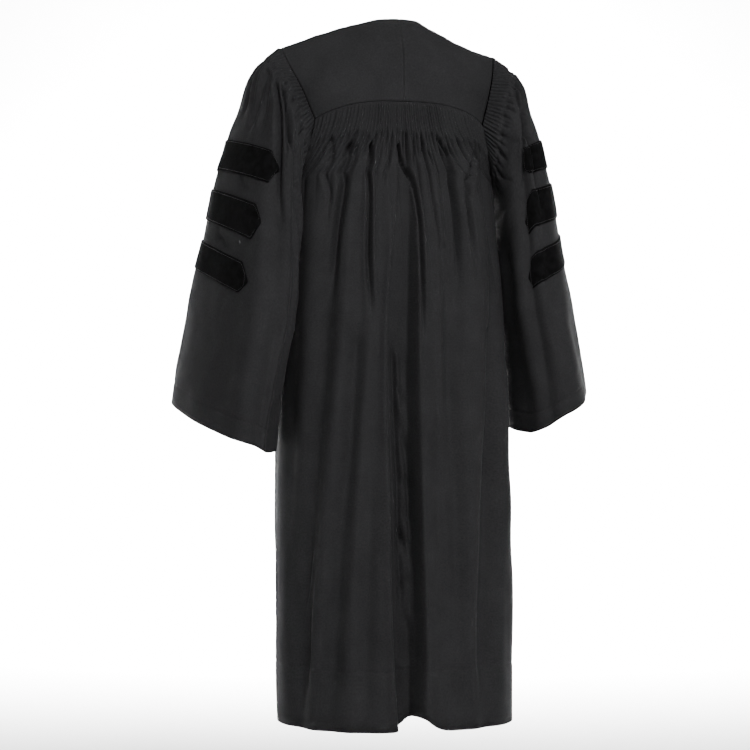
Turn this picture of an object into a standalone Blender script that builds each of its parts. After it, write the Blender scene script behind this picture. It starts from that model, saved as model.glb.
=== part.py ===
"""A doctoral graduation gown, hollow, in the pose that it has when it is worn.

Metres, +Z up. The front faces -Y and the wearer's left is +X. The origin is midway between the
shoulders, at the height of the neck end of the shoulder line.
"""

import math
from collections import namedtuple

import bmesh
import bpy
import numpy as np

# Cloth and seams
WALL = 0.0016
SEAM_GAP = 0.0003
VELVET_WALL = 0.0014
VELVET_GAP = 0.0008
HEM_HEIGHT = -1.252

# Yoke, neck and armhole
YOKE_SEAM_HEIGHT = -0.153
YOKE_SEAM_DROP = 0.034
YOKE_SEAM_BEND = 4
UNDERARM_HEIGHT = -0.305
ARMHOLE_ANGLE = math.radians(24.0)
ARMHOLE_ROUNDNESS = 0.8
ARMHOLE_CALM = math.radians(14.0)  # the folds die out this near to the armhole
SIDE_SEAM_ANGLE = 0.0016  # half of the seam's gap, seen from the body's middle
CHEST_HEIGHT = -0.22
CHEST_BULGE = 0.006
SHOULDER_BULGE = 0.004
BACK_NECK = (0.0, 0.0705, -0.003)
CENTRE_BACK = ((0.0, 0.099, -0.100), (0.0, 0.090, -0.045), BACK_NECK)
NECKLINE = (BACK_NECK, (0.036, 0.058, 0.001), (0.058, 0.028, 0.002), (0.064, 0.0, 0.0),
            (0.070, -0.035, -0.020))
ARMHOLE_OVER = ((0.179, 0.052, -0.125), (0.193, 0.030, -0.088), (0.202, 0.0, -0.054), (0.197, -0.026, -0.066),
                (0.188, -0.046, -0.090))
FRONT_NECK = ((0.066, -0.060, -0.042), (0.042, -0.084, -0.074), (0.0, -0.100, -0.100))
NECK_CORNER = 0.5
FRONT_CORNER = 0.55
YOKE_SEAM_REACH = 0.75  # how far over the shoulder the seam's curve still shows
SHOULDER_RISE = (0.0, 0.5)
SHOULDER_FALL = (0.7, 1.0)

# Flutes and gathers
BACK_FLUTES = 60
FLUTE_BAND = 0.055
FLUTE_RAISE = 0.0022
FLUTE_FULLNESS = (0.5, 1.0, 1.0)  # of the raise, on each row of the fluted band
GATHERS = 20
GATHER_DEPTH = 0.0042
GATHER_START = (0.044, 0.095)
GATHER_FADE = 0.105
GATHER_END = 0.30
GATHER_WANDER = (0.35, 9.0, 6.0)  # size, and how fast it changes across and down
GATHER_EDGE_POWER = 0.3
SLEEVE_FLUTES = 48
SLEEVE_FLUTE_RAISE = 0.0020
SLEEVE_FLUTE_FULLNESS = (0.4, 1.0, 1.0)
SLEEVE_FLUTE_ENDS = (0.34, 0.42)  # how far round from the outside the flutes die out

# Sleeve bars
BAR_TOPS = (-0.219, -0.311, -0.403)
BAR_HEIGHT = 0.054
BAR_TIP_HALF_HEIGHTS = (0.55, 0.05)
BAR_RIM = 0.02  # along the sleeve past the bar's edges, only to read its direction there
# Columns of the sleeve that each bar's middle is turned towards the back
BAR_TURNS = {"left": (-1, -3, -4), "right": (2, 3, 3)}

# Zip: sizes across, out and up, and the pull's window round the slider's bail
ZIP_HALF_GAP = 0.0035
ZIP_HALF_WIDTH = ZIP_HALF_GAP - SEAM_GAP
SLIDER_SIZE = (0.0085, 0.0030, 0.0130)
SLIDER_HEIGHT = -0.135
SLIDER_GAP = 0.0007
BAIL_WIDTH = 0.0026
BAIL_BAR = 0.0010
BAIL_OPENING = 0.0019
BAIL_REACH = 0.0020
PULL_SIZE = (0.0070, 0.0010, 0.0300)
PULL_WINDOW = (0.0034, 0.0037)
SINK = 0.0004  # how far joined blocks run into each other

CLOTH_COLOUR = (0.032, 0.032, 0.034, 1.0)
VELVET_COLOUR = (0.005, 0.005, 0.005, 1.0)
COIL_COLOUR = (0.015, 0.015, 0.016, 1.0)
METAL_COLOUR = (0.020, 0.020, 0.022, 1.0)

BodySection = namedtuple("BodySection", "drop half_width centre_y back front squareness")
BODY = (
    BodySection(0.150, 0.178, 0.000, 0.098, 0.100, 3.0),
    BodySection(0.240, 0.180, 0.002, 0.112, 0.116, 3.0),
    BodySection(0.376, 0.188, 0.012, 0.136, 0.134, 3.0),
    BodySection(0.640, 0.2020, 0.028, 0.160, 0.150, 2.6),
    BodySection(0.960, 0.2090, 0.040, 0.183, 0.162, 2.4),
    BodySection(1.265, 0.2060, 0.038, 0.198, 0.168, 2.3),
)

FOLD_LIP = 0.55
FOLD_FADE = (-0.09, 0.05)
CALM_END = 0.40
HEM_LIFT = 0.14  # of a fold's depth, so that the hem dips less in its folds
HEM_LIFT_DROPS = (0.9, 1.25)

# A fold runs from its top angle to its low angle round the body, 0 at the left side, 90 behind
BodyFold = namedtuple("BodyFold", "top_angle low_angle start full half_width top_depth low_depth")
BACK_FOLDS = (
    BodyFold(45, 34, 0.22, 0.60, 8.0, 0.008, 0.020),
    BodyFold(59, 49, 0.22, 0.55, 5.0, 0.007, 0.016),
    BodyFold(75, 66, 0.30, 0.70, 5.0, 0.004, 0.010),
    BodyFold(94, 85, 0.24, 0.62, 6.0, 0.014, 0.072),
    BodyFold(124, 107, 0.24, 0.60, 5.0, 0.005, 0.013),
    BodyFold(136, 122, 0.30, 0.70, 5.0, 0.004, 0.010),
    BodyFold(150, 138, 0.22, 0.60, 7.0, 0.010, 0.022),
    BodyFold(168, 162, 0.40, 0.80, 8.0, 0.003, 0.012),
    BodyFold(12, 15, 0.40, 0.80, 8.0, 0.003, 0.012),
)
FRONT_FOLDS = (
    BodyFold(-14, -16, 0.40, 0.90, 8.0, 0.003, 0.012),
    BodyFold(-38, -34, 0.30, 0.80, 7.0, 0.005, 0.016),
    BodyFold(-58, -54, 0.28, 0.90, 6.0, 0.004, 0.013),
    BodyFold(-74, -71, 0.45, 1.00, 5.0, 0.002, 0.009),
)

SleeveRing = namedtuple(
    "SleeveRing", "along centre_x centre_y centre_z half_x half_y outer_rise inner_fall back_fall skew bow")
SLEEVE = (
    SleeveRing(0.055, 0.2190, 0.002, -0.1980, 0.0265, 0.098, 0.1150, 0.126, 0.000, 0.00, 0.026),
    SleeveRing(0.160, 0.2335, 0.012, -0.2060, 0.0385, 0.116, 0.0410, 0.142, 0.012, 0.08, 0.012),
    SleeveRing(0.300, 0.2480, 0.024, -0.2800, 0.0520, 0.124, 0.0200, 0.098, 0.016, 0.18, 0.000),
    SleeveRing(0.500, 0.2660, 0.024, -0.4400, 0.0630, 0.140, 0.0250, 0.046, 0.030, 0.20, 0.000),
    SleeveRing(0.770, 0.2860, 0.012, -0.5950, 0.0700, 0.158, 0.0180, 0.022, 0.038, 0.14, 0.000),
    SleeveRing(1.000, 0.3006, 0.000, -0.7200, 0.0745, 0.170, 0.0180, 0.032, 0.036, 0.10, 0.000),
)
SLEEVE_SQUARENESS = 2.3
UNDERARM_SPREAD = (0.04, 0.20)
SLEEVE_LIFT = {"left": 0.0, "right": 0.027}
SLEEVE_LAP = 0.0009
ARMHOLE_STEPS = 200
SLEEVE_FOLD_LIP = 0.5
SLEEVE_FOLD_FADE = (0.12, 0.15)

# A sleeve fold runs round from its top to its low angle, 0 outside, 90 behind, 180 next to the body
SleeveFold = namedtuple("SleeveFold", "top_angle low_angle start end half_width depth")
SLEEVE_FOLDS = {
    "left": (
        SleeveFold(38, 30, 0.03, 0.34, 10, 0.006),
        SleeveFold(62, 78, 0.04, 0.62, 10, 0.009),
        SleeveFold(108, 122, 0.10, 1.10, 13, 0.014),
        SleeveFold(84, 92, 0.55, 1.40, 12, 0.009),
        SleeveFold(150, 140, 0.30, 1.40, 12, 0.008),
        SleeveFold(-48, -40, 0.04, 0.60, 11, 0.008),
        SleeveFold(-92, -100, 0.10, 1.40, 13, 0.012),
        SleeveFold(-140, -138, 0.30, 1.40, 12, 0.008),
    ),
    "right": (
        SleeveFold(30, 24, 0.03, 0.40, 10, 0.006),
        SleeveFold(64, 70, 0.04, 0.80, 11, 0.010),
        SleeveFold(104, 112, 0.10, 1.40, 13, 0.013),
        SleeveFold(44, 40, 0.60, 1.40, 12, 0.008),
        SleeveFold(148, 142, 0.30, 1.40, 12, 0.008),
        SleeveFold(-52, -46, 0.04, 0.60, 11, 0.008),
        SleeveFold(-96, -92, 0.10, 1.40, 13, 0.012),
        SleeveFold(-142, -136, 0.30, 1.40, 12, 0.008),
    ),
}

# Rows and columns of the meshes
BAND_DROPS = (0.0, 0.006, 0.049)
BACK_DROPS = (0.062, 0.085, 0.105, 0.1247, 0.165, 0.215, 0.28, 0.36, 0.46, 0.58, 0.71, 0.85, 0.98)
BACK_COLUMNS = 70
YOKE_COLUMNS = 8
YOKE_ROWS = 12
FRONT_COLUMNS = 15
CHEST_ROWS = 4
FRONT_HEIGHTS = (-0.250, -0.275, -0.293, UNDERARM_HEIGHT, -0.36, -0.44, -0.54, -0.66, -0.80, -0.95, -1.10)
SLEEVE_BAND_ALONG = (0.0, 0.010, 0.045)
SLEEVE_HEAD_ALONG = (0.07, 0.12, 0.175)
SLEEVE_LOW_ALONG = (0.64, 0.76, 0.88, 1.0)
SLEEVE_COLUMNS = 40
BAR_HALF_COLUMNS = 9
BAR_ROWS = 2


def through(knots, values, at):
    """A smooth curve through the values at the knots, read at the places given."""
    knots = np.asarray(knots, float)
    values = np.asarray(values, float)
    at = np.clip(np.asarray(at, float), knots[0], knots[-1])
    slopes = np.gradient(values, knots, axis=0)
    index = np.clip(np.searchsorted(knots, at) - 1, 0, len(knots) - 2)
    span = knots[index + 1] - knots[index]
    part = (at - knots[index]) / span
    if values.ndim > 1:
        span = span[..., None]
        part = part[..., None]
    start = (1 + 2 * part) * (1 - part) ** 2 * values[index]
    end = part**2 * (3 - 2 * part) * values[index + 1]
    lean = part * (1 - part) ** 2 * slopes[index] - part**2 * (1 - part) * slopes[index + 1]
    return start + end + span * lean


def curve(points, at):
    """A smooth curve through points, evenly spaced by chord, read at 0 to 1."""
    points = np.asarray(points, float)
    steps = np.linalg.norm(np.diff(points, axis=0), axis=1)
    knots = np.concatenate([[0.0], np.cumsum(steps)])
    return through(knots / knots[-1], points, at)


def ramp(value, start, end):
    """0 before start, 1 after end, smooth between."""
    part = np.clip((value - start) / (end - start), 0.0, 1.0)
    return part * part * (3 - 2 * part)


def column(rows, name):
    return [getattr(row, name) for row in rows]


def body_form(angle, height):
    """The plain body form at an angle round it, with its outward direction."""
    drop = -np.asarray(height, float)
    drops = column(BODY, "drop")
    half_width = through(drops, column(BODY, "half_width"), drop)
    centre = through(drops, column(BODY, "centre_y"), drop)
    back = through(drops, column(BODY, "back"), drop)
    front = through(drops, column(BODY, "front"), drop)
    power = through(drops, column(BODY, "squareness"), drop)
    across = np.cos(angle)
    along = np.sin(angle)
    depth = np.where(along > 0, back, front)
    radius = ((np.abs(across) / half_width) ** power + (np.abs(along) / depth) ** power) ** (-1 / power)
    out_x = np.sign(across) * (np.abs(across) / half_width) ** (power - 1) / half_width
    out_y = np.sign(along) * (np.abs(along) / depth) ** (power - 1) / depth
    size = np.hypot(out_x, out_y)
    point = np.stack([radius * across, centre + radius * along, -drop], axis=-1)
    out = np.stack([out_x / size, out_y / size, np.zeros_like(size)], axis=-1)
    return point, out


def fold_depth(folds, angle, drop):
    """How far the folds draw the cloth in, with a low lip on both sides of each."""
    degrees = np.degrees(angle)
    total = np.zeros(np.broadcast(angle, drop).shape)
    for fold in folds:
        part = ramp(drop, fold.start, fold.full)
        middle = fold.top_angle + (fold.low_angle - fold.top_angle) * part
        depth = fold.top_depth + (fold.low_depth - fold.top_depth) * part
        away = (degrees - middle) / fold.half_width
        shape = (1 - FOLD_LIP * away**2) * np.exp(-(away**2) / 2)
        total = total + depth * shape * ramp(drop, fold.start + FOLD_FADE[0], fold.start + FOLD_FADE[1])
    return total


def armhole_angle(height):
    """The armhole's edge on the body: wide open at the yoke, closing at the underarm."""
    top = YOKE_SEAM_HEIGHT - YOKE_SEAM_DROP
    part = np.clip((top - height) / (top - UNDERARM_HEIGHT), 0.0, 1.0)
    return ARMHOLE_ANGLE * (1 - part**2) ** ARMHOLE_ROUNDNESS


def back_plain(across, drops):
    """Points of the back panel: across 0 at its left edge to 1, drops are below the yoke seam."""
    across = np.asarray(across, float)[None, :]
    drops = np.asarray(drops, float)[:, None]
    seam = YOKE_SEAM_HEIGHT - YOKE_SEAM_DROP * np.abs(2 * across - 1) ** YOKE_SEAM_BEND
    level = ramp(drops, FLUTE_BAND, GATHER_END)
    height = seam + (YOKE_SEAM_HEIGHT - seam) * level - drops
    edge = armhole_angle(YOKE_SEAM_HEIGHT - YOKE_SEAM_DROP * (1 - level) - drops) + SIDE_SEAM_ANGLE
    angle = edge + across * (math.pi - 2 * edge)
    point, out = body_form(angle, height)
    from_edge = np.minimum(angle - edge, math.pi - edge - angle)
    free = np.maximum(ramp(from_edge, 0.0, ARMHOLE_CALM), ramp(-height, -UNDERARM_HEIGHT, CALM_END))
    drawn_in = fold_depth(BACK_FOLDS, angle, -height) * free
    fade = ramp(drops, *GATHER_START) * (1 - ramp(drops, GATHER_FADE, GATHER_END))
    wander, wander_across, wander_down = GATHER_WANDER
    phase = GATHERS * across + wander * np.sin(wander_across * across + wander_down * drops)
    ripple = GATHER_DEPTH * fade * np.sin(2 * math.pi * phase) * np.sin(math.pi * across) ** GATHER_EDGE_POWER
    lift = HEM_LIFT * np.clip(drawn_in, 0.0, None) * ramp(-height, *HEM_LIFT_DROPS)
    point = point + out * (ripple - drawn_in)[..., None]
    point[..., 2] = point[..., 2] + lift
    return point


def even_columns(rows_of, count):
    """Places along a row at which its points are evenly spaced along the cloth."""
    fine = np.linspace(0.0, 1.0, 800)
    row = rows_of(fine)
    steps = np.linalg.norm(np.diff(row, axis=0), axis=1) + 0.0005
    total = np.concatenate([[0.0], np.cumsum(steps)])
    return np.interp(np.linspace(0.0, total[-1], count), total, fine)


def directions(grid, closed=False):
    """The normal at each point of a grid of rows."""
    if closed:
        wide = np.concatenate([grid[:, -1:], grid, grid[:, :1]], axis=1)
        along_row = (wide[:, 2:] - wide[:, :-2]) / 2
    else:
        along_row = np.gradient(grid, axis=1)
    between_rows = np.gradient(grid, axis=0)
    normal = np.cross(along_row, between_rows)
    return normal / np.linalg.norm(normal, axis=-1, keepdims=True)


def moved(grid, distance, closed=False):
    return grid + directions(grid, closed) * np.asarray(distance)[..., None]


def stitch(mesh, first, second, closed):
    """Triangles between two rows, each a list of places and a list of corners."""
    places_a, corners_a = list(first[0]), list(first[1])
    places_b, corners_b = list(second[0]), list(second[1])
    if closed:
        places_a.append(places_a[0] + 1.0)
        places_b.append(places_b[0] + 1.0)
        corners_a.append(corners_a[0])
        corners_b.append(corners_b[0])
    a = 0
    b = 0
    while a < len(corners_a) - 1 or b < len(corners_b) - 1:
        step_a = b == len(corners_b) - 1
        if not step_a and a < len(corners_a) - 1:
            step_a = places_a[a + 1] <= places_b[b + 1]
        if step_a:
            mesh.faces.new((corners_a[a], corners_a[a + 1], corners_b[b]))
            a += 1
        else:
            mesh.faces.new((corners_a[a], corners_b[b + 1], corners_b[b]))
            b += 1


def add_rows(mesh, rows):
    """Each row of (places, points) as corners of the mesh."""
    return [(places, [mesh.verts.new(point) for point in points]) for places, points in rows]


def wall_object(name, outer, inner, material, closed=False, mirrored=False):
    """A cloth wall from outer and inner rows; a closed row runs all round a sleeve."""
    mesh = bmesh.new()
    outer = add_rows(mesh, outer)
    inner = add_rows(mesh, inner)
    for rows in (outer, inner):
        for first, second in zip(rows, rows[1:]):
            stitch(mesh, first, second, closed)
    stitch(mesh, outer[0], inner[0], closed)
    stitch(mesh, outer[-1], inner[-1], closed)
    if not closed:
        for end in (0, -1):
            sides = []
            for rows in (outer, inner):
                places = np.linspace(0.0, 1.0, len(rows))
                sides.append((places, [row[1][end] for row in rows]))
            stitch(mesh, sides[0], sides[1], False)
    if mirrored:
        for corner in mesh.verts:
            corner.co.x = -corner.co.x
    bmesh.ops.recalc_face_normals(mesh, faces=mesh.faces)
    return finish_object(name, mesh, material)


def finish_object(name, mesh, material):
    data = bpy.data.meshes.new(name)
    mesh.to_mesh(data)
    mesh.free()
    data.shade_smooth()
    data.materials.append(material)
    piece = bpy.data.objects.new(name, data)
    bpy.context.scene.collection.objects.link(piece)
    return piece


def material_of(name, colour, roughness, metallic=0.0):
    material = bpy.data.materials.new(name)
    material.use_nodes = True
    shader = material.node_tree.nodes["Principled BSDF"]
    shader.inputs["Base Color"].default_value = colour
    shader.inputs["Roughness"].default_value = roughness
    shader.inputs["Metallic"].default_value = metallic
    return material


def square_side_seam(inner, outer, ends):
    """Below the underarm the wall's edge at a side seam is cut square to it."""
    below = outer[:, 0, 2] < UNDERARM_HEIGHT
    for end in ends:
        inner[below, end, 1] = outer[below, end, 1]


def row_list(places, grid):
    return [(places, row) for row in grid]


def make_back(cloth):
    """The back panel: raised flutes under the yoke over a plain inside, then gathers and folds."""
    last_drop = YOKE_SEAM_HEIGHT - HEM_HEIGHT
    low_drops = BACK_DROPS + (last_drop,)
    places = even_columns(lambda fine: back_plain(fine, [last_drop])[0], BACK_COLUMNS)
    flute_places = np.linspace(0.0, 1.0, 2 * BACK_FLUTES + 1)
    band = back_plain(flute_places, BAND_DROPS)
    ridge = (np.arange(len(flute_places)) % 2).astype(float)
    fullness = np.array(FLUTE_FULLNESS)
    band = moved(band, -FLUTE_RAISE * fullness[:, None] * ridge[None, :])
    low = back_plain(places, low_drops)
    plain = back_plain(places, (BAND_DROPS[0], BAND_DROPS[2]) + low_drops)
    inner = moved(plain, WALL)
    square_side_seam(inner, plain, (0, -1))
    outer_rows = row_list(flute_places, band) + row_list(places, low)
    return wall_object("back", outer_rows, row_list(places, inner), cloth)


def yoke_plain(across, over):
    """Points of the left yoke half: across 0 at the neck to 1 at the armhole, over 0 behind to 1 in front."""
    across = np.asarray(across, float)
    over = np.asarray(over, float)
    half = 0.5 - 0.5 * across
    seam = back_plain(half, [0.0])[0]
    seam[:, 2] += SEAM_GAP
    centre = curve((tuple(seam[0]),) + CENTRE_BACK, np.clip(over / NECK_CORNER, 0, 1))
    neck = curve(NECKLINE, np.clip((over - NECK_CORNER) / (1 - NECK_CORNER), 0, 1))
    inside = np.where((over < NECK_CORNER)[:, None], centre, neck)
    outside = curve((tuple(seam[-1]),) + ARMHOLE_OVER, over)
    grid = inside[:, None] * (1 - across[:, None]) + outside[:, None] * across[:, None]
    straight = seam[0] * (1 - across[:, None]) + seam[-1] * across[:, None]
    grid = grid + (seam - straight)[None] * ((1 - ramp(over, 0.0, YOKE_SEAM_REACH))[:, None, None])
    crown = SHOULDER_BULGE * 4 * across * (1 - across)
    grid[..., 2] += crown[None, :] * (ramp(over, *SHOULDER_RISE) * (1 - ramp(over, *SHOULDER_FALL)))[:, None]
    grid[..., 0] = np.maximum(grid[..., 0], SEAM_GAP / 2)
    return grid


def make_yoke(side, cloth):
    """A yoke half; its back edge has a point for each flute that it meets, its front edge is cut level."""
    places = np.linspace(0.0, 1.0, YOKE_COLUMNS + 1)
    seam_places = np.linspace(0.0, 1.0, BACK_FLUTES + 1)
    over = np.linspace(0.0, 1.0, YOKE_ROWS + 1)
    fine = yoke_plain(seam_places, over[:3])
    grid = yoke_plain(places, over)
    level = directions(grid)[-1] * np.array([1.0, 1.0, 0.0])
    level = level / np.linalg.norm(level, axis=1, keepdims=True)
    rows = []
    for distance in (0.0, WALL):
        seam = moved(fine, distance)[:1]
        rest = moved(grid, distance)[1:]
        rest[-1] = grid[-1] + level * distance
        for part in (seam, rest):
            part[..., 0] = np.maximum(part[..., 0], SEAM_GAP / 2)
        rows.append(row_list(seam_places, seam) + row_list(places, rest))
    return wall_object("yoke_" + side, rows[0], rows[1], cloth, mirrored=side == "right")


def front_plain(across, chest_rows, heights):
    """Points of the left front: across 0 at the armhole and side seam to 1 at the zip."""
    across = np.asarray(across, float)
    seam_part = np.clip(1 - across / FRONT_CORNER, 0, 1)
    seam = yoke_plain(seam_part, [1.0])[0]
    seam[:, 2] -= SEAM_GAP
    seam[:, 1] -= SEAM_GAP
    neck_end = yoke_plain([0.0], [1.0])[0, 0]
    neck_end = neck_end - np.array([0.0, SEAM_GAP, SEAM_GAP])
    neck = curve((tuple(neck_end),) + FRONT_NECK, np.clip((across - FRONT_CORNER) / (1 - FRONT_CORNER), 0, 1))
    top = np.where((across <= FRONT_CORNER)[:, None], seam, neck)

    def low_row(height):
        edge = -armhole_angle(height) - SIDE_SEAM_ANGLE
        end = -(math.pi / 2)
        angle = edge + across * (end - edge)
        point, out = body_form(angle, np.full_like(angle, height))
        drawn_in = fold_depth(FRONT_FOLDS, angle, np.full_like(angle, -height))
        return point - out * drawn_in[:, None]

    chest = low_row(CHEST_HEIGHT)
    rows = []
    for part in np.linspace(0.0, 1.0, chest_rows + 1)[:-1]:
        row = top * (1 - part) + chest * part
        row[:, 1] -= CHEST_BULGE * 4 * part * (1 - part) * np.sin(math.pi * across) ** 2
        rows.append(row)
    rows.append(chest)
    rows.extend(low_row(height) for height in heights)
    grid = np.array(rows)
    grid[..., 0] = np.maximum(grid[..., 0], ZIP_HALF_GAP)
    return grid


def make_front(side, cloth):
    places = np.linspace(0.0, 1.0, FRONT_COLUMNS + 1)
    grid = front_plain(places, CHEST_ROWS, FRONT_HEIGHTS + (HEM_HEIGHT,))
    inner = moved(grid, -WALL)
    inner[:, -1, 0] = ZIP_HALF_GAP
    square_side_seam(inner, grid, (0,))
    return wall_object("front_" + side, row_list(places, grid), row_list(places, inner), cloth,
                       mirrored=side == "right")


def armhole_line(count):
    """The armhole on the panels' own edges, from the shoulder point backwards and round, with normals."""
    yoke = yoke_plain(np.linspace(0.0, 1.0, YOKE_COLUMNS + 1), np.linspace(0.0, 1.0, YOKE_ROWS + 1))
    back = back_plain(np.linspace(0.0, 1.0, BACK_COLUMNS), BAND_DROPS + BACK_DROPS)
    heights = tuple(height for height in FRONT_HEIGHTS if height >= UNDERARM_HEIGHT)
    front = front_plain(np.linspace(0.0, 1.0, FRONT_COLUMNS + 1), CHEST_ROWS, heights)
    yoke_edge = np.concatenate([yoke, -directions(yoke)], axis=2)[:, -1]
    back_edge = np.concatenate([back, -directions(back)], axis=2)[:, 0]
    front_edge = np.concatenate([front, directions(front)], axis=2)[:, 0]
    back_edge = back_edge[back_edge[:, 2] > UNDERARM_HEIGHT - SEAM_GAP]
    top = int(np.argmax(yoke_edge[:, 2]))
    line = np.concatenate([yoke_edge[top::-1], back_edge, front_edge[::-1], yoke_edge[:top - 1:-1]])
    steps = np.linalg.norm(np.diff(line[:, :3], axis=0), axis=1)
    total = np.concatenate([[0.0], np.cumsum(steps)])
    low = int(np.argmin(line[:, 2]))
    halves = (np.linspace(0.0, total[low], count), np.linspace(total[low], total[-1], count)[1:])
    where = np.concatenate(halves)
    line = np.stack([np.interp(where, total, line[:, axis]) for axis in range(6)], axis=1)
    return line[:, :3], line[:, 3:] / np.linalg.norm(line[:, 3:], axis=1, keepdims=True)


def sleeve_ring(ring, angle):
    """A ring of the sleeve, at angles from the outside through the back."""
    across = np.cos(angle)
    along = np.sin(angle)
    power = SLEEVE_SQUARENESS
    radius = (np.abs(across) ** power + np.abs(along) ** power) ** (-1 / power)
    across = across * radius
    along = along * radius
    x = ring.centre_x + ring.half_x * across - ring.skew * ring.half_y * along - ring.bow * along**2
    y = ring.centre_y + ring.half_y * along
    z = ring.centre_z + ring.outer_rise * np.maximum(across, 0) + ring.inner_fall * np.minimum(across, 0)
    z = z - ring.back_fall * along
    return np.stack([x, y, z], axis=-1)


def sleeve_seat(round_places):
    """The sleeve's first ring, lapped over the armhole's edge all round, with the body's normals.

    The part over the arm lies on the body with its inner side, the part under it with its outer side.
    """
    points, normals = armhole_line(ARMHOLE_STEPS)
    line = np.concatenate([points, normals], axis=1)
    line_places = np.linspace(0.0, 1.0, len(line))
    line = np.stack([np.interp(round_places % 1.0, line_places, line[:, axis]) for axis in range(6)], axis=1)
    over_arm = ramp(np.abs(round_places % 1.0 - 0.5), *UNDERARM_SPREAD)[:, None]
    ring = line[:, :3] + line[:, 3:] * (SLEEVE_LAP + WALL * over_arm)
    return ring, line[:, 3:] * over_arm


def ring_places():
    return np.arange(SLEEVE_COLUMNS) / SLEEVE_COLUMNS


def bar_rows(side):
    """The places along the sleeve of each bar's edges and middle, from their heights on its outside."""
    fine = np.linspace(0.02, 1.0, 400)
    line = sleeve_plain(ring_places(), fine, side)[:, 0, 2] - SLEEVE_LIFT[side] * fine**2
    rows = []
    for top in BAR_TOPS:
        heights = top - BAR_HEIGHT * np.linspace(0.0, 1.0, BAR_ROWS + 1)
        rows.append(tuple(np.interp(-heights, -line, fine)))
    return rows


def sleeve_plain(round_places, along, side):
    """Points of the left-hand sleeve form: places 0 to 1 from the outside through the back."""
    round_places = np.asarray(round_places, float)
    along = np.asarray(along, float)
    angle = 2 * math.pi * round_places
    rings = [sleeve_seat(round_places)[0]] + [sleeve_ring(ring, angle) for ring in SLEEVE]
    knots = [0.0] + column(SLEEVE, "along")
    grid = through(knots, np.array(rings).reshape(len(rings), -1), along)
    grid = grid.reshape(len(along), len(angle), 3)
    grid[..., 2] += SLEEVE_LIFT[side] * (along**2)[:, None]
    degrees = (np.degrees(angle) + 180.0) % 360.0 - 180.0
    total = np.zeros(grid.shape[:2])
    for fold in SLEEVE_FOLDS[side]:
        part = np.clip((along - fold.start) / (1 - fold.start), 0, 1)[:, None]
        middle = fold.top_angle + (fold.low_angle - fold.top_angle) * part
        away = ((degrees[None, :] - middle + 180.0) % 360.0 - 180.0) / fold.half_width
        fade = ramp(along, fold.start, fold.start + SLEEVE_FOLD_FADE[0])
        fade = fade * (1 - ramp(along, fold.end - SLEEVE_FOLD_FADE[1], fold.end))
        total = total + fold.depth * fade[:, None] * (1 - SLEEVE_FOLD_LIP * away**2) * np.exp(-(away**2) / 2)
    return moved(grid, total, closed=True)


def make_sleeve(side, cloth):
    """A bell sleeve: raised flutes beside the armhole over a plain inside, then long folds."""
    places = ring_places()
    flute_places = np.arange(2 * SLEEVE_FLUTES) / (2 * SLEEVE_FLUTES)
    band = sleeve_plain(flute_places, SLEEVE_BAND_ALONG, side)
    ridge = (np.arange(len(flute_places)) % 2).astype(float)
    over_arm = 1 - ramp(np.abs((flute_places + 0.5) % 1.0 - 0.5), *SLEEVE_FLUTE_ENDS)
    fullness = np.array(SLEEVE_FLUTE_FULLNESS)
    band = moved(band, -SLEEVE_FLUTE_RAISE * fullness[:, None] * (ridge * over_arm)[None, :], closed=True)
    low_along = SLEEVE_HEAD_ALONG + sum(bar_rows(side), ()) + SLEEVE_LOW_ALONG
    low = sleeve_plain(places, low_along, side)
    plain = sleeve_plain(places, (0.0, SLEEVE_BAND_ALONG[2]) + low_along, side)
    inner = moved(plain, WALL, closed=True)
    seat, body_normals = sleeve_seat(flute_places)
    share = np.linalg.norm(body_normals, axis=1, keepdims=True)
    band_plain = sleeve_plain(flute_places, SLEEVE_BAND_ALONG, side)
    inwards = directions(band_plain, closed=True)[0] * (1 - share) - body_normals
    edge = seat + inwards / np.linalg.norm(inwards, axis=1, keepdims=True) * WALL
    beside = moved(band_plain, WALL, closed=True)[1]
    outer_rows = row_list(flute_places, band) + row_list(places, low)
    inner_rows = row_list(flute_places, [edge, beside]) + row_list(places, inner[1:])
    return wall_object("sleeve_" + side, outer_rows, inner_rows, cloth, closed=True,
                       mirrored=side == "right")


def make_bar(side, number, velvet):
    """A velvet bar on the sleeve's own points, moved out, and pointed at both ends."""
    columns = np.arange(-BAR_HALF_COLUMNS, BAR_HALF_COLUMNS + 1) + BAR_TURNS[side][number]
    along = bar_rows(side)[number]
    rim = np.array((along[0] - BAR_RIM,) + along + (along[-1] + BAR_RIM,))
    panel = sleeve_plain(ring_places(), rim, side)[:, columns % SLEEVE_COLUMNS]
    half_heights = np.ones(len(columns))
    for step, height in enumerate(reversed(BAR_TIP_HALF_HEIGHTS)):
        half_heights[step] = height
        half_heights[-1 - step] = height
    middle = panel[2:3]
    shaped = middle + (panel - middle) * half_heights[None, :, None]
    out = -directions(panel)
    inner = (shaped + out * VELVET_GAP)[1:-1]
    outer = (shaped + out * (VELVET_GAP + VELVET_WALL))[1:-1]
    name = "bar_" + side + "_" + str(number + 1)
    places = np.linspace(0.0, 1.0, len(columns))
    return wall_object(name, row_list(places, outer), row_list(places, inner), velvet,
                       mirrored=side == "right")


def block(name, middle, size, material):
    """A plain box by its middle and its sizes."""
    mesh = bmesh.new()
    bmesh.ops.create_cube(mesh, size=1.0)
    bmesh.ops.scale(mesh, vec=size, verts=mesh.verts)
    bmesh.ops.translate(mesh, vec=middle, verts=mesh.verts)
    piece = finish_object(name, mesh, material)
    piece.data.shade_flat()
    return piece


def boolean(piece, other, operation):
    """Joins a hidden helper to the piece, or cuts it out."""
    other.hide_render = True
    other.display_type = "WIRE"
    step = piece.modifiers.new(other.name, "BOOLEAN")
    step.object = other
    step.operation = operation


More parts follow.
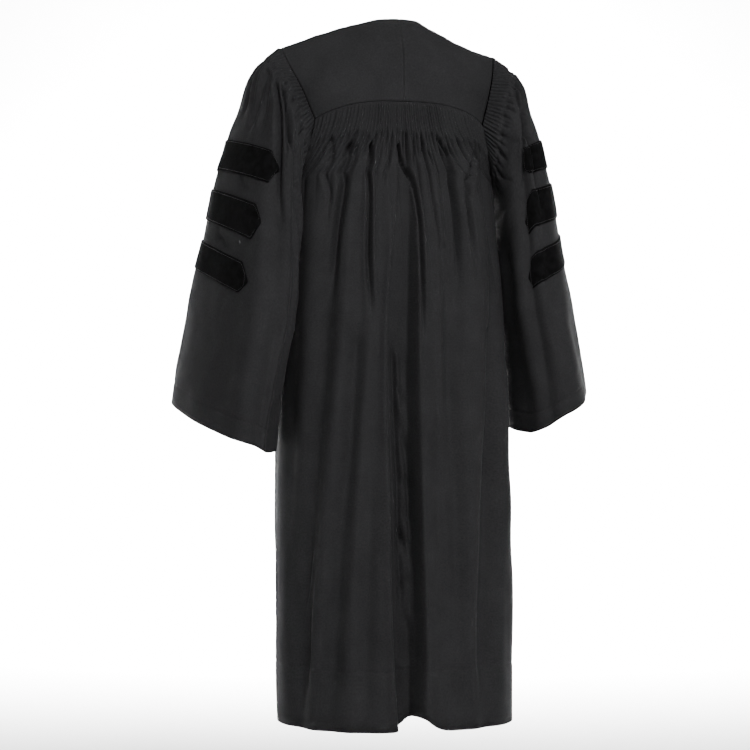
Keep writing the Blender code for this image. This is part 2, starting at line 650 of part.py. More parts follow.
def front_edge():
    """The path of the fronts' closed edges, from the neck to the hem."""
    return front_plain([1.0], CHEST_ROWS, FRONT_HEIGHTS + (HEM_HEIGHT,))[:, 0]


def make_zip(nylon, metal):
    """The coil between the fronts, a slider with a bail, and the pull that hangs from the bail."""
    path = front_edge()
    rows = []
    for depth in (0.0, WALL):
        strip = [[(side * ZIP_HALF_WIDTH, point[1] + depth, point[2]) for side in (1, -1)] for point in path]
        rows.append(row_list((0.0, 1.0), np.array(strip)))
    wall_object("zip_coil", rows[0], rows[1], nylon)
    width, depth, height = SLIDER_SIZE
    low = SLIDER_HEIGHT - height / 2
    cloth_y = float(np.interp(-low, -path[:, 2], path[:, 1]))
    back_y = cloth_y - SLIDER_GAP
    face_y = back_y - depth
    slider = block("zip_slider", (0.0, back_y - depth / 2, SLIDER_HEIGHT), SLIDER_SIZE, metal)
    post_reach = BAIL_REACH + BAIL_BAR
    for sign in (1, -1):
        middle_z = SLIDER_HEIGHT + sign * (BAIL_OPENING + BAIL_BAR) / 2
        middle = (0.0, face_y - post_reach / 2 + SINK / 2, middle_z)
        name = "bail_post_top" if sign > 0 else "bail_post_low"
        boolean(slider, block(name, middle, (BAIL_WIDTH, post_reach + SINK, BAIL_BAR), metal), "UNION")
    bridge_size = (BAIL_WIDTH, BAIL_BAR, BAIL_OPENING + 2 * SINK)
    bridge_y = face_y - BAIL_REACH - BAIL_BAR / 2
    bridge = block("bail_bridge", (0.0, bridge_y, SLIDER_HEIGHT), bridge_size, metal)
    boolean(slider, bridge, "UNION")
    axis = bpy.data.objects.new("zip_pull_axis", None)
    axis.location = (0.0, face_y - BAIL_REACH / 2, SLIDER_HEIGHT)
    bpy.context.scene.collection.objects.link(axis)
    pull = block("zip_pull", (0.0, 0.0, BAIL_BAR / 2 - PULL_SIZE[2] / 2), PULL_SIZE, metal)
    pull.parent = axis
    window_size = (PULL_WINDOW[0], 4 * PULL_SIZE[1], PULL_WINDOW[1])
    window = block("pull_window", (0.0, 0.0, -BAIL_BAR / 2 - PULL_WINDOW[1] / 2), window_size, metal)
    window.parent = axis
    boolean(pull, window, "DIFFERENCE")


def main():
    for old in list(bpy.data.objects):
        bpy.data.objects.remove(old)
    cloth = material_of("black_polyester_gown_cloth", CLOTH_COLOUR, 0.75)
    velvet = material_of("black_cotton_velvet", VELVET_COLOUR, 0.95)
    nylon = material_of("black_nylon_zip", COIL_COLOUR, 0.5)
    metal = material_of("black_enamelled_metal", METAL_COLOUR, 0.4)
    make_back(cloth)
    make_zip(nylon, metal)
    for side in ("left", "right"):
        make_yoke(side, cloth)
        make_front(side, cloth)
        make_sleeve(side, cloth)
        for number in range(len(BAR_TOPS)):
            make_bar(side, number, velvet)


main()
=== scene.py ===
# %% [markdown]
# # A doctoral graduation gown
#
# The gown hangs as it does when it is worn, and nobody is inside it. A black polyester body is
# pleated into fine flutes under a plain yoke, and so are the sleeves where they meet the armholes.
# Three velvet bars lie on each sleeve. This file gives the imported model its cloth: every panel is
# a thin closed shell that follows the form of its solid, with far finer folds.

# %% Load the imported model
import math
from collections import namedtuple
import bmesh
import bpy
import numpy as np
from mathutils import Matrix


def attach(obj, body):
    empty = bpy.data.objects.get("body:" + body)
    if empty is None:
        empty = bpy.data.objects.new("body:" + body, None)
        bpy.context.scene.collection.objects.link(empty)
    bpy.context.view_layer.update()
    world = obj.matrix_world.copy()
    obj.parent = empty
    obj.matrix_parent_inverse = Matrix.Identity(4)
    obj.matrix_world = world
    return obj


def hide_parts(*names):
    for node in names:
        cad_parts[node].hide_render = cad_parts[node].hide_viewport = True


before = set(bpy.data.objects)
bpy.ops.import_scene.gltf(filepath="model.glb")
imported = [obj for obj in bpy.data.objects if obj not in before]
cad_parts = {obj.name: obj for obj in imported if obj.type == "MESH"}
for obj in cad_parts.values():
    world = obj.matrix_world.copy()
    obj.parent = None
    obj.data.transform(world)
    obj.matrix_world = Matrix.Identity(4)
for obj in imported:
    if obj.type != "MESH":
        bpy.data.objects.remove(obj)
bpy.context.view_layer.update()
print("packed nodes:", len(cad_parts))

# %% [markdown]
# ## The camera
#
# The photograph shows the gown from behind, a little from its left, from about 4.5 m away. The
# camera stands at that angle, level with the middle of the gown.

# %% Camera
VIEW_AZIMUTH = math.radians(162.0)
VIEW_DISTANCE = 4.5
VIEW_HEIGHT = -0.64
FOCAL_PIXELS = 2472.5
FRAME_PIXELS = 750.0
SENSOR_MM = 36.0
FRAME_SHIFT = -12.0 / FRAME_PIXELS


def add_object(name, data):
    """A new object, put into the scene."""
    made = bpy.data.objects.new(name, data)
    bpy.context.scene.collection.objects.link(made)
    return made


lens = bpy.data.cameras.new("gown_view")
lens.sensor_width = SENSOR_MM
lens.lens = SENSOR_MM * FOCAL_PIXELS / FRAME_PIXELS
lens.shift_x = FRAME_SHIFT
lens.clip_end = 40.0
camera = add_object("gown_view", lens)
towards_camera = (math.sin(VIEW_AZIMUTH), -math.cos(VIEW_AZIMUTH))
camera.location = (VIEW_DISTANCE * towards_camera[0], VIEW_DISTANCE * towards_camera[1], VIEW_HEIGHT)
camera.rotation_euler = (math.pi / 2, 0.0, VIEW_AZIMUTH)
bpy.context.scene.camera = camera
print("lens", round(lens.lens, 1), "mm")

# %% [markdown]
# ## Curves and ramps
#
# Cloth has no corners in its large forms. All of them are smooth curves through a few measured
# sections, so a few small helpers do most of the work.

# %% Curve helpers
def through(knots, values, at):
    """A smooth curve through the values at the knots, read at the places given."""
    knots = np.asarray(knots, float)
    values = np.asarray(values, float)
    at = np.clip(np.asarray(at, float), knots[0], knots[-1])
    slopes = np.gradient(values, knots, axis=0)
    index = np.clip(np.searchsorted(knots, at) - 1, 0, len(knots) - 2)
    span = knots[index + 1] - knots[index]
    part = (at - knots[index]) / span
    if values.ndim > 1:
        span = span[..., None]
        part = part[..., None]
    start = (1 + 2 * part) * (1 - part) ** 2 * values[index]
    end = part**2 * (3 - 2 * part) * values[index + 1]
    lean = part * (1 - part) ** 2 * slopes[index] - part**2 * (1 - part) * slopes[index + 1]
    return start + end + span * lean


def curve(points, at):
    """A smooth curve through points, evenly spaced by chord, read at 0 to 1."""
    points = np.asarray(points, float)
    steps = np.linalg.norm(np.diff(points, axis=0), axis=1)
    knots = np.concatenate([[0.0], np.cumsum(steps)])
    return through(knots / knots[-1], points, at)


def ramp(value, start, end):
    """0 before start, 1 after end, smooth between."""
    part = np.clip((value - start) / (end - start), 0.0, 1.0)
    return part * part * (3 - 2 * part)


def bell(value, middle, width):
    """1 at the middle, dying away on both sides."""
    return np.exp(-(((value - middle) / width) ** 2))


def valley(away, lip):
    """A valley over places in half widths from its middle: 1 deep there, with a low lip on both sides."""
    return (1 - lip * away**2) * np.exp(-(away**2) / 2)


def stations(start, *stretches):
    """Places from the start on, through stretches that each say their end and their number of steps."""
    parts = []
    for end, steps in stretches:
        parts.append(np.linspace(start, end, steps + 1)[:-1])
        start = end
    return np.concatenate(parts + [[start]])


def column(rows, name):
    return [getattr(row, name) for row in rows]


def at_drop(rows, drop, *names):
    """The named columns of a table of sections, each read at the drops."""
    drops = column(rows, "drop")
    return [through(drops, column(rows, name), drop) for name in names]


def directions(grid, closed=False):
    """The normal at each point of a grid of rows."""
    if closed:
        wide = np.concatenate([grid[:, -1:], grid, grid[:, :1]], axis=1)
        along_row = (wide[:, 2:] - wide[:, :-2]) / 2
    else:
        along_row = np.gradient(grid, axis=1)
    between_rows = np.gradient(grid, axis=0)
    normal = np.cross(along_row, between_rows)
    return normal / np.linalg.norm(normal, axis=-1, keepdims=True)


def moved(grid, distance, closed=False):
    return grid + directions(grid, closed) * np.asarray(distance)[..., None]


def between_points(field, top, left, part_y, part_x):
    """Values between the points of a grid, by rows and columns and the parts of a step past them."""
    upper = field[top, left] * (1 - part_x) + field[top, left + 1] * part_x
    lower = field[top + 1, left] * (1 - part_x) + field[top + 1, left + 1] * part_x
    return upper * (1 - part_y) + lower * part_y


def soft_noise(across, down, cells_across, cells_down, seed):
    """Smooth unevenness between -1 and 1 over places that run from 0 to 1."""
    lattice = np.random.RandomState(seed).uniform(-1, 1, (cells_down + 3, cells_across + 3))
    x = np.clip(across, 0, 1) * cells_across
    y = np.clip(down, 0, 1) * cells_down
    left = np.floor(x).astype(int)
    top = np.floor(y).astype(int)
    return between_points(lattice, top, left, ramp(y - top, 0, 1), ramp(x - left, 0, 1))


Noise = namedtuple("Noise", "height across down seed")


def wrinkled(layers, across, down, seed=0):
    """Layers of soft noise, each with its height and its number of cells across and down."""
    return sum(layer.height * soft_noise(across, down, layer.across, layer.down, layer.seed + seed)
               for layer in layers)


print("a ramp half way:", float(ramp(0.5, 0, 1)))

# %% [markdown]
# ## Creases
#
# A crease is a narrow valley with a low lip on both sides, and it dies out at its two ends. Each
# one is drawn as a short path over the cloth. The depth at a point depends only on its distance
# from the path, so a crease can run in any direction.

# %% Crease helper
Crease = namedtuple("Crease", "path half_width depth")
CREASE_LIP = 0.45
CREASE_START = 0.012
CREASE_END = 0.45


def crease_depth(creases, side_place, down_place):
    """How far the creases draw the cloth in, on places in metres across and down the cloth."""
    total = np.zeros(np.broadcast(side_place, down_place).shape)
    for crease in creases:
        path = np.asarray(crease.path, float)
        lengths = np.linalg.norm(np.diff(path, axis=0), axis=1)
        starts = np.concatenate([[0.0], np.cumsum(lengths)])
        nearest = np.full(total.shape, 1e9)
        travelled = np.zeros(total.shape)
        for first, second, length, start in zip(path, path[1:], lengths, starts):
            step = (second - first) / length
            along = np.clip((side_place - first[0]) * step[0] + (down_place - first[1]) * step[1], 0, length)
            away = np.hypot(side_place - first[0] - step[0] * along, down_place - first[1] - step[1] * along)
            closer = away < nearest
            nearest = np.where(closer, away, nearest)
            travelled = np.where(closer, start + along, travelled)
        part = travelled / starts[-1]
        strength = ramp(travelled, 0.0, min(CREASE_START, starts[-1] / 3))
        strength = strength * (1 - ramp(part, 1 - CREASE_END, 1.0))
        away = nearest / crease.half_width
        total += crease.depth * strength * valley(away, CREASE_LIP)
    return total


print("a crease at its middle:", crease_depth([Crease(((0, 0), (0, 1)), 0.01, 0.005)], 0.0, 0.4))

# %% [markdown]
# ## The body's form
#
# The form that the cloth hangs on is described by level sections: half a width, and a depth in
# front and behind, with a power that makes the section rounder or squarer. Below the shoulder
# blades the cloth hangs free and slowly widens.

# %% Sections of the body
WALL = 0.0012
SEAM_GAP = 0.0003
HEM_HEIGHT = -1.258
YOKE_SEAM_HEIGHT = -0.153
YOKE_SEAM_DROP = 0.034
YOKE_SEAM_BEND = 4
UNDERARM_HEIGHT = -0.305
ARMHOLE_ANGLE = math.radians(24.0)
ARMHOLE_ROUNDNESS = 0.8
ARMHOLE_CALM = math.radians(14.0)
CALM_END = 0.40
SIDE_SEAM_ANGLE = 0.0016
FOLD_LIP = 0.55
FOLD_FADE = (-0.09, 0.05)
HEM_LIFT = 0.30
HEM_LIFT_FROM = 0.012
HEM_LIFT_DROPS = (0.9, 1.25)

BodySection = namedtuple("BodySection", "drop half_width centre_y back front squareness")
BODY = (
    BodySection(0.150, 0.178, 0.000, 0.098, 0.100, 3.0),
    BodySection(0.240, 0.180, 0.002, 0.112, 0.116, 3.0),
    BodySection(0.376, 0.188, 0.012, 0.136, 0.134, 3.0),
    BodySection(0.640, 0.2055, 0.028, 0.160, 0.150, 2.6),
    BodySection(0.960, 0.2140, 0.040, 0.183, 0.162, 2.4),
    BodySection(1.265, 0.2115, 0.038, 0.198, 0.168, 2.3),
)


def body_form(angle, height):
    """The plain body form at an angle round it, with its outward direction."""
    drop = -np.asarray(height, float)
    half_width, centre, back, front, power = at_drop(BODY, drop, *BodySection._fields[1:])
    across = np.cos(angle)
    along = np.sin(angle)
    depth = np.where(along > 0, back, front)
    radius = ((np.abs(across) / half_width) ** power + (np.abs(along) / depth) ** power) ** (-1 / power)
    out_x = np.sign(across) * (np.abs(across) / half_width) ** (power - 1) / half_width
    out_y = np.sign(along) * (np.abs(along) / depth) ** (power - 1) / depth
    size = np.hypot(out_x, out_y)
    point = np.stack([radius * across, centre + radius * along, -drop], axis=-1)
    out = np.stack([out_x / size, out_y / size, np.zeros_like(size)], axis=-1)
    return point, out


print("waist half width:", round(float(body_form(np.array(0.0), np.array(-0.64))[0][0]), 3))

# %% [markdown]
# ## The large folds
#
# The cloth that the flutes take up at the top falls in long folds. They are set from the
# photograph: where each starts, where it has drifted to at the hem, how wide and how deep it is.
# The deepest is the one just left of the middle of the back, which runs right down to the hem.

# %% Long folds of the body
BodyFold = namedtuple("BodyFold", "top_angle low_angle start full half_width top_depth low_depth")
BACK_FOLDS = (
    BodyFold(38, 22, 0.35, 1.25, 7.0, 0.014, 0.022),
    BodyFold(54, 40, 0.40, 1.25, 6.0, 0.011, 0.019),
    BodyFold(66, 58, 0.30, 1.10, 4.5, 0.005, 0.010),
    BodyFold(104, 98, 0.35, 1.00, 4.5, 0.005, 0.010),
    BodyFold(122, 108, 0.26, 0.80, 6.0, 0.010, 0.015),
    BodyFold(152, 124, 0.25, 1.15, 6.5, 0.013, 0.022),
    BodyFold(168, 162, 0.40, 0.80, 8.0, 0.002, 0.007),
    BodyFold(12, 15, 0.40, 0.80, 8.0, 0.002, 0.007),
)
FRONT_FOLDS = (
    BodyFold(-14, -16, 0.40, 0.90, 8.0, 0.001, 0.002),
    BodyFold(-38, -34, 0.30, 0.80, 7.0, 0.005, 0.016),
    BodyFold(-58, -54, 0.28, 0.90, 6.0, 0.004, 0.013),
    BodyFold(-74, -71, 0.45, 1.00, 5.0, 0.002, 0.009),
)


# The deep fold: a recess between two edges, whose places in degrees change down the back
FoldPlace = namedtuple("FoldPlace", "drop left right depth")
CENTRE_FOLD = (
    FoldPlace(0.20, 84.0, 96.0, 0.000),
    FoldPlace(0.34, 77.0, 94.0, 0.014),
    FoldPlace(0.50, 70.5, 91.5, 0.029),
    FoldPlace(0.63, 68.5, 89.5, 0.036),
    FoldPlace(0.84, 69.5, 88.5, 0.041),
    FoldPlace(1.13, 71.5, 88.0, 0.045),
    FoldPlace(1.26, 74.0, 88.0, 0.050),
)
CENTRE_FOLD_WALLS = (2.6, 5.0)
NOTCH_RISE = 0.024
NOTCH_ANGLE = (85.5, 8.0)
NOTCH_DROPS = (1.14, 1.25)
CENTRE_FOLD_LIP = 0.0035
CENTRE_FOLD_LIP_WIDTH = 2.2
CENTRE_FOLD_LIP_DROPS = (0.30, 0.45)
FOLDS_CALM_FROM = (1.12, 1.25)
FOLDS_CALM = 0.7


def centre_fold_depth(angle, drop):
    """How far the deep fold draws the cloth in: steep sides, a flat bottom and a lip at each edge."""
    degrees = np.degrees(angle)
    left, right, depth = at_drop(CENTRE_FOLD, drop, *FoldPlace._fields[1:])
    left_wall, right_wall = CENTRE_FOLD_WALLS
    inside = ramp(degrees, left, left + left_wall) * (1 - ramp(degrees, right - right_wall, right))
    lips = sum(bell(degrees, edge, CENTRE_FOLD_LIP_WIDTH) for edge in (left - 1.0, right + 1.0))
    return depth * inside - CENTRE_FOLD_LIP * lips * ramp(drop, *CENTRE_FOLD_LIP_DROPS)


def fold_depth(folds, angle, drop):
    """How far the folds draw the cloth in, with a low lip on both sides of each."""
    degrees = np.degrees(angle)
    total = np.zeros(np.broadcast(angle, drop).shape)
    for fold in folds:
        part = ramp(drop, fold.start, fold.full)
        middle = fold.top_angle + (fold.low_angle - fold.top_angle) * part
        depth = fold.top_depth + (fold.low_depth - fold.top_depth) * part
        away = (degrees - middle) / fold.half_width
        total = total + depth * valley(away, FOLD_LIP) * ramp(drop - fold.start, *FOLD_FADE)
    return total


def armhole_angle(height):
    """The armhole's edge on the body: wide open at the yoke, closing at the underarm."""
    top = YOKE_SEAM_HEIGHT - YOKE_SEAM_DROP
    part = np.clip((top - height) / (top - UNDERARM_HEIGHT), 0.0, 1.0)
    return ARMHOLE_ANGLE * (1 - part**2) ** ARMHOLE_ROUNDNESS


print("long folds behind and in front:", len(BACK_FOLDS), 2 * len(FRONT_FOLDS))

# %% [markdown]
# ## Flutes and gathers on the back
#
# Cartridge pleats are tiny tubes of cloth, drawn up side by side on a thread and sewn to the
# yoke. About 60 of them cross the back, 5 mm apart. Where the stitching stops, about 55 mm lower,
# groups of flutes run together into gathers with narrow valleys, which fade one by one.

# %% The back panel's surface
BACK_FLUTES = 60
FLUTE_BAND = 0.055
FLUTE_RAISE = 0.0043
FLUTE_ROUND = 0.55
GATHERS = 20
GATHER_DEPTH = 0.0085
GATHER_START = (0.050, 0.064)
GATHER_FADE = 0.085
GATHER_END = 0.30
GATHER_END_SPREAD = 0.12
GATHER_DRIFT = 0.55
GATHER_LEVEL = 0.4
GATHER_EDGE_POWER = 0.3
# Right under the stitching, pairs of flutes make smaller gathers
SMALL_GATHER_DEPTH = 0.0048
SMALL_GATHER_START = (0.050, 0.057)
SMALL_GATHER_END = (0.070, 0.115)
BAND_RAGGED = 0.008
BAND_START = (0.0, 0.006)
BAND_END = (-0.004, 0.008)
BULB_HEIGHT = 0.0016
BULB_WIDTH = 0.007
SEAM_LEVEL_DROP = 0.30
BACK_WIDTH = 0.60
HEM_FOLD = 0.105
HEM_LINE = HEM_HEIGHT + HEM_FOLD
HEM_LINE_CALM = 0.02
HEM_GROOVE = 0.0007
HEM_GROOVE_WIDTH = 0.0026
CREASE_EDGE_CALM = math.radians(3.0)
BACK_WRINKLES = (Noise(0.0016, 26, 9, 41), Noise(0.0012, 12, 14, 43))
BACK_WRINKLE_DROPS = (0.10, 0.30)
# The narrow panel beside the deep fold is crumpled by what it is pressed between
CRUMPLED = (Noise(0.0060, 44, 30, 47),)
CRUMPLED_PLACE = (0.457, 0.026)
CRUMPLED_DROPS = (0.36, 0.48)

BACK_CREASES = (
    Crease(((0.252, 0.44), (0.258, 0.70), (0.262, 1.00)), 0.0060, 0.0095),
    Crease(((0.058, 0.050), (0.099, 0.106), (0.118, 0.162), (0.122, 0.200)), 0.0045, 0.0081),
    Crease(((0.111, 0.070), (0.130, 0.096), (0.144, 0.144), (0.141, 0.180), (0.133, 0.248), (0.126, 0.380)),
           0.0075, 0.0175),
    Crease(((0.132, 0.072), (0.149, 0.110), (0.161, 0.150)), 0.0040, 0.0081),
    Crease(((0.171, 0.070), (0.190, 0.112), (0.197, 0.164), (0.197, 0.284), (0.204, 0.410)), 0.0048, 0.0203),
    Crease(((0.233, 0.074), (0.240, 0.108), (0.224, 0.156)), 0.0040, 0.0068),
    Crease(((0.265, 0.072), (0.279, 0.108), (0.309, 0.138), (0.316, 0.164), (0.320, 0.212), (0.317, 0.300),
            (0.306, 0.470)), 0.0050, 0.0175),
    Crease(((0.334, 0.062), (0.320, 0.110), (0.312, 0.132)), 0.0035, 0.0081),
    Crease(((0.371, 0.078), (0.380, 0.110), (0.368, 0.140)), 0.0035, 0.0068),
    Crease(((0.369, 0.070), (0.338, 0.108)), 0.0030, 0.0068),
    Crease(((0.425, 0.060), (0.437, 0.092), (0.416, 0.136), (0.414, 0.190), (0.400, 0.354)), 0.0050, 0.0135),
    Crease(((0.455, 0.066), (0.444, 0.104)), 0.0035, 0.0068),
    Crease(((0.541, 0.056), (0.529, 0.080), (0.450, 0.140), (0.443, 0.176), (0.439, 0.224), (0.439, 0.330)),
           0.0050, 0.0149),
    Crease(((0.562, 0.050), (0.556, 0.086), (0.540, 0.150)), 0.0045, 0.0108),
    Crease(((0.175, 0.420), (0.164, 0.623), (0.150, 0.780)), 0.0110, 0.006),
    Crease(((0.102, 0.800), (0.060, 0.960)), 0.0060, -0.004),
    Crease(((0.370, 0.250), (0.366, 0.420), (0.362, 0.640)), 0.0100, 0.006),
    Crease(((0.471, 0.400), (0.462, 0.560), (0.430, 0.800)), 0.0120, 0.009),
    Crease(((0.262, 0.560), (0.282, 0.640), (0.268, 0.760)), 0.0080, 0.005),
    Crease(((0.283, 0.66), (0.286, 0.80), (0.288, 0.95), (0.289, 1.20)), 0.0050, 0.014),
    Crease(((0.258, 0.505), (0.274, 0.530), (0.282, 0.520)), 0.0050, 0.008),
    Crease(((0.254, 0.595), (0.281, 0.612)), 0.0045, 0.008),
    Crease(((0.258, 0.690), (0.282, 0.668)), 0.0050, 0.009),
    Crease(((0.255, 0.758), (0.272, 0.792), (0.286, 0.776)), 0.0050, 0.010),
    Crease(((0.256, 0.860), (0.283, 0.832)), 0.0045, 0.009),
    Crease(((0.262, 0.900), (0.280, 0.928)), 0.0045, 0.008),
    Crease(((0.256, 0.990), (0.282, 0.985)), 0.0040, 0.004),
)


def valley_wave(phase):
    """Rounded ridges with narrow valleys at whole numbers, from -1 to 1."""
    return 2 * np.abs(np.sin(math.pi * phase)) ** FLUTE_ROUND - 1


def hem_groove(above):
    """The groove of the hem's stitching, at distances above its line."""
    return HEM_GROOVE * bell(above, 0.0, HEM_GROOVE_WIDTH)


def back_surface(across, drops, plain=False):
    """Points of the back panel: across 0 at its left edge to 1, drops are below the yoke seam."""
    across = np.asarray(across, float)[None, :]
    drops = np.asarray(drops, float)[:, None]
    seam = YOKE_SEAM_HEIGHT - YOKE_SEAM_DROP * np.abs(2 * across - 1) ** YOKE_SEAM_BEND
    level = ramp(drops, FLUTE_BAND, SEAM_LEVEL_DROP)
    height = seam + (YOKE_SEAM_HEIGHT - seam) * level - drops
    edge = armhole_angle(YOKE_SEAM_HEIGHT - YOKE_SEAM_DROP * (1 - level) - drops) + SIDE_SEAM_ANGLE
    angle = edge + across * (math.pi - 2 * edge)
    point, out = body_form(angle, height)
    if plain:
        return point
    from_edge = np.minimum(angle - edge, math.pi - edge - angle)
    free = np.maximum(ramp(from_edge, 0.0, ARMHOLE_CALM), ramp(-height, -UNDERARM_HEIGHT, CALM_END))
    drawn_in = fold_depth(BACK_FOLDS, angle, -height) * (1 - FOLDS_CALM * ramp(-height, *FOLDS_CALM_FROM))
    lift = HEM_LIFT * np.clip(drawn_in - HEM_LIFT_FROM, 0.0, None) * ramp(-height, *HEM_LIFT_DROPS)
    lift = lift + NOTCH_RISE * bell(np.degrees(angle), *NOTCH_ANGLE) * ramp(-height, *NOTCH_DROPS)
    drawn_in = (drawn_in + centre_fold_depth(angle, -height)) * free
    edge_calm = np.sin(math.pi * across) ** GATHER_EDGE_POWER

    uneven = soft_noise(across, drops, 34, 7, 3)
    fade = 1 - ramp(drops, GATHER_FADE, GATHER_END + GATHER_END_SPREAD * uneven)
    drift = GATHER_DRIFT * ramp(drops, GATHER_START[0], GATHER_END) * soft_noise(across, drops, 14, 3, 11)
    gathers = GATHER_DEPTH * ramp(drops, *GATHER_START) * fade * (0.5 + 0.5 * uneven) * edge_calm
    gathers = gathers * (valley_wave(GATHERS * across + drift) - GATHER_LEVEL)
    # The lower end of the stitching is a little ragged
    below = drops - BAND_RAGGED * soft_noise(across, drops * 0, 60, 1, 21)
    small = SMALL_GATHER_DEPTH * ramp(below, *SMALL_GATHER_START) * (1 - ramp(drops, *SMALL_GATHER_END))
    small = small * edge_calm * (valley_wave(BACK_FLUTES / 2 * across + 0.35 * uneven) - GATHER_LEVEL)

    sewn = ramp(drops, *BAND_START) * (1 - ramp(below - FLUTE_BAND, *BAND_END))
    flutes = FLUTE_RAISE * sewn * (0.9 + 0.35 * soft_noise(across, drops, 60, 5, 31))
    jitter = 0.16 * soft_noise(across, drops, 60, 6, 33)
    flutes = flutes * (0.5 + 0.5 * valley_wave(BACK_FLUTES * across + jitter)) * 1.2
    bulb = BULB_HEIGHT * bell(below, FLUTE_BAND, BULB_WIDTH) * edge_calm

    creases = crease_depth(BACK_CREASES, across * BACK_WIDTH, drops) * ramp(from_edge, 0.0, CREASE_EDGE_CALM)
    above_hem = 1 - ramp(HEM_LINE - height, -HEM_LINE_CALM, HEM_LINE_CALM)
    wrinkles = wrinkled(BACK_WRINKLES, across, drops) * ramp(drops, *BACK_WRINKLE_DROPS)
    wrinkles = wrinkles * ramp(from_edge, 0.0, ARMHOLE_CALM) * above_hem
    middle, half = CRUMPLED_PLACE
    panel = np.exp(-(((across - middle) / half) ** 4)) * ramp(drops, *CRUMPLED_DROPS)
    panel = panel * (0.25 + 0.75 * above_hem)
    wrinkles = wrinkles + panel * wrinkled(CRUMPLED, across, drops)
    hem = hem_groove(height - HEM_LINE)
    offset = gathers + small + flutes + bulb + wrinkles - hem - drawn_in - creases
    point = point + out * offset[..., None]
    point[..., 2] = point[..., 2] + lift
    return point


last_drop = YOKE_SEAM_HEIGHT - HEM_HEIGHT
print("the back falls", round(last_drop, 3), "m below its seam")
print("creases set by hand on it:", len(BACK_CREASES))

# %% [markdown]
# ## Thin shells
#
# Real cloth has two faces and an edge. One helper makes every panel: it takes the grid of points
# of the outer face, steps inwards by the wall's thickness for the inner face, which needs only
# half as many columns, and closes the edge all round. The grid's own lengths in metres become
# the UV map, so that the weave runs with the cloth and always has the same size.

# %% Shell helper
def shell_object(name, outer, wall, material, closed=False, mirrored=False, inner=None):
    """A closed cloth shell from the outer face's grid; wall is signed towards the inside."""
    rows, columns = outer.shape[:2]
    if inner is None:
        inner = moved(outer, np.full(outer.shape[:2], wall), closed)
    inner = inner[:, ::2]
    narrow = inner.shape[1]
    outer_at = np.arange(rows * columns).reshape(rows, columns)
    inner_at = rows * columns + np.arange(rows * narrow).reshape(rows, narrow)
    points = np.concatenate([outer.reshape(-1, 3), inner.reshape(-1, 3)])
    steps = np.linalg.norm(np.diff(outer, axis=1), axis=2)
    width = np.concatenate([np.zeros((rows, 1)), np.cumsum(steps, axis=1)], axis=1)
    width = np.broadcast_to(width.mean(axis=0), (rows, columns)) - width.mean()
    fall = np.linalg.norm(np.diff(outer[:, columns // 2], axis=0), axis=1)
    fall = np.broadcast_to(np.concatenate([[0.0], np.cumsum(fall)])[:, None], (rows, columns))
    cut = np.stack([width, fall], axis=-1)
    cuts = np.concatenate([cut.reshape(-1, 2), cut[:, ::2].reshape(-1, 2)])
    if closed:
        outer_at = np.concatenate([outer_at, outer_at[:, :1]], axis=1)
        inner_at = np.concatenate([inner_at, inner_at[:, :1]], axis=1)
    faces = []

    def quads(a, turned):
        corners = np.stack([a[:-1, :-1], a[:-1, 1:], a[1:, 1:], a[1:, :-1]], axis=-1).reshape(-1, 4)
        faces.extend((corners[:, ::-1] if turned else corners).tolist())

    quads(outer_at, False)
    quads(inner_at, True)
    for row, turned in ((0, True), (-1, False)):
        wide = outer_at[row]
        slim = inner_at[row]
        for k in range(len(slim) - 1):
            fan = ((wide[2 * k], wide[2 * k + 1], slim[k]),
                   (wide[2 * k + 1], wide[2 * k + 2], slim[k + 1]),
                   (wide[2 * k + 1], slim[k + 1], slim[k]))
            faces.extend(tri[::-1] if not turned else tri for tri in fan)
    if not closed:
        for end, turned in ((0, True), (-1, False)):
            for k in range(rows - 1):
                quad = (outer_at[k, end], outer_at[k + 1, end], inner_at[k + 1, end], inner_at[k, end])
                faces.append(quad[::-1] if turned else quad)
    faces = [[int(v) for v in face] for face in faces]
    if mirrored:
        points = points * np.array([-1.0, 1.0, 1.0])
    data = bpy.data.meshes.new(name)
    data.from_pydata(points.tolist(), [], faces)
    layer = data.uv_layers.new(name="cut")
    corner_points = np.zeros(len(data.loops), np.int32)
    data.loops.foreach_get("vertex_index", corner_points)
    layer.data.foreach_set("uv", cuts[corner_points].astype(np.float32).ravel())
    mesh = bmesh.new()
    mesh.from_mesh(data)
    bmesh.ops.recalc_face_normals(mesh, faces=mesh.faces)
    mesh.to_mesh(data)
    open_edges = sum(1 for edge in mesh.edges if not edge.is_manifold)
    volume = mesh.calc_volume()
    mesh.free()
    data.shade_smooth()
    data.materials.append(material)
    piece = add_object(name, data)
    across_cut = float(steps.sum(axis=1).max())
    print(name, len(data.polygons), "faces, open edges", open_edges, "cm3", round(volume * 1e6, 1),
          "cut about", round(across_cut, 3), "x", round(float(fall.max()), 3), "m")
    return piece

# %% [markdown]
# ## Cloth and velvet
#
# The gown is woven polyester, a matte black that reads as a very dark gray in soft light, with a
# little sheen where the surface turns away. Its threads are about 0.3 mm apart, too fine to show
# from here, so the weave is drawn at 1.1 mm. The bars are cotton velvet, whose pile swallows the
# light except at grazing angles.

# %% Colour and node helpers
def linear(hex_colour):
    """An sRGB hex colour as linear values."""
    parts = [int(hex_colour[i:i + 2], 16) / 255 for i in (1, 3, 5)]
    return tuple(p / 12.92 if p <= 0.04045 else ((p + 0.055) / 1.055) ** 2.4 for p in parts) + (1.0,)


def add_node(material, kind, settings=None, inputs=None):
    """A node with its settings; an input is a value or another node's output."""
    tree = material.node_tree
    node = tree.nodes.new(kind)
    for key, value in (settings or {}).items():
        setattr(node, key, value)
    for key, value in (inputs or {}).items():
        if isinstance(value, bpy.types.NodeSocket):
            tree.links.new(value, node.inputs[key])
        else:
            node.inputs[key].default_value = value
    return node


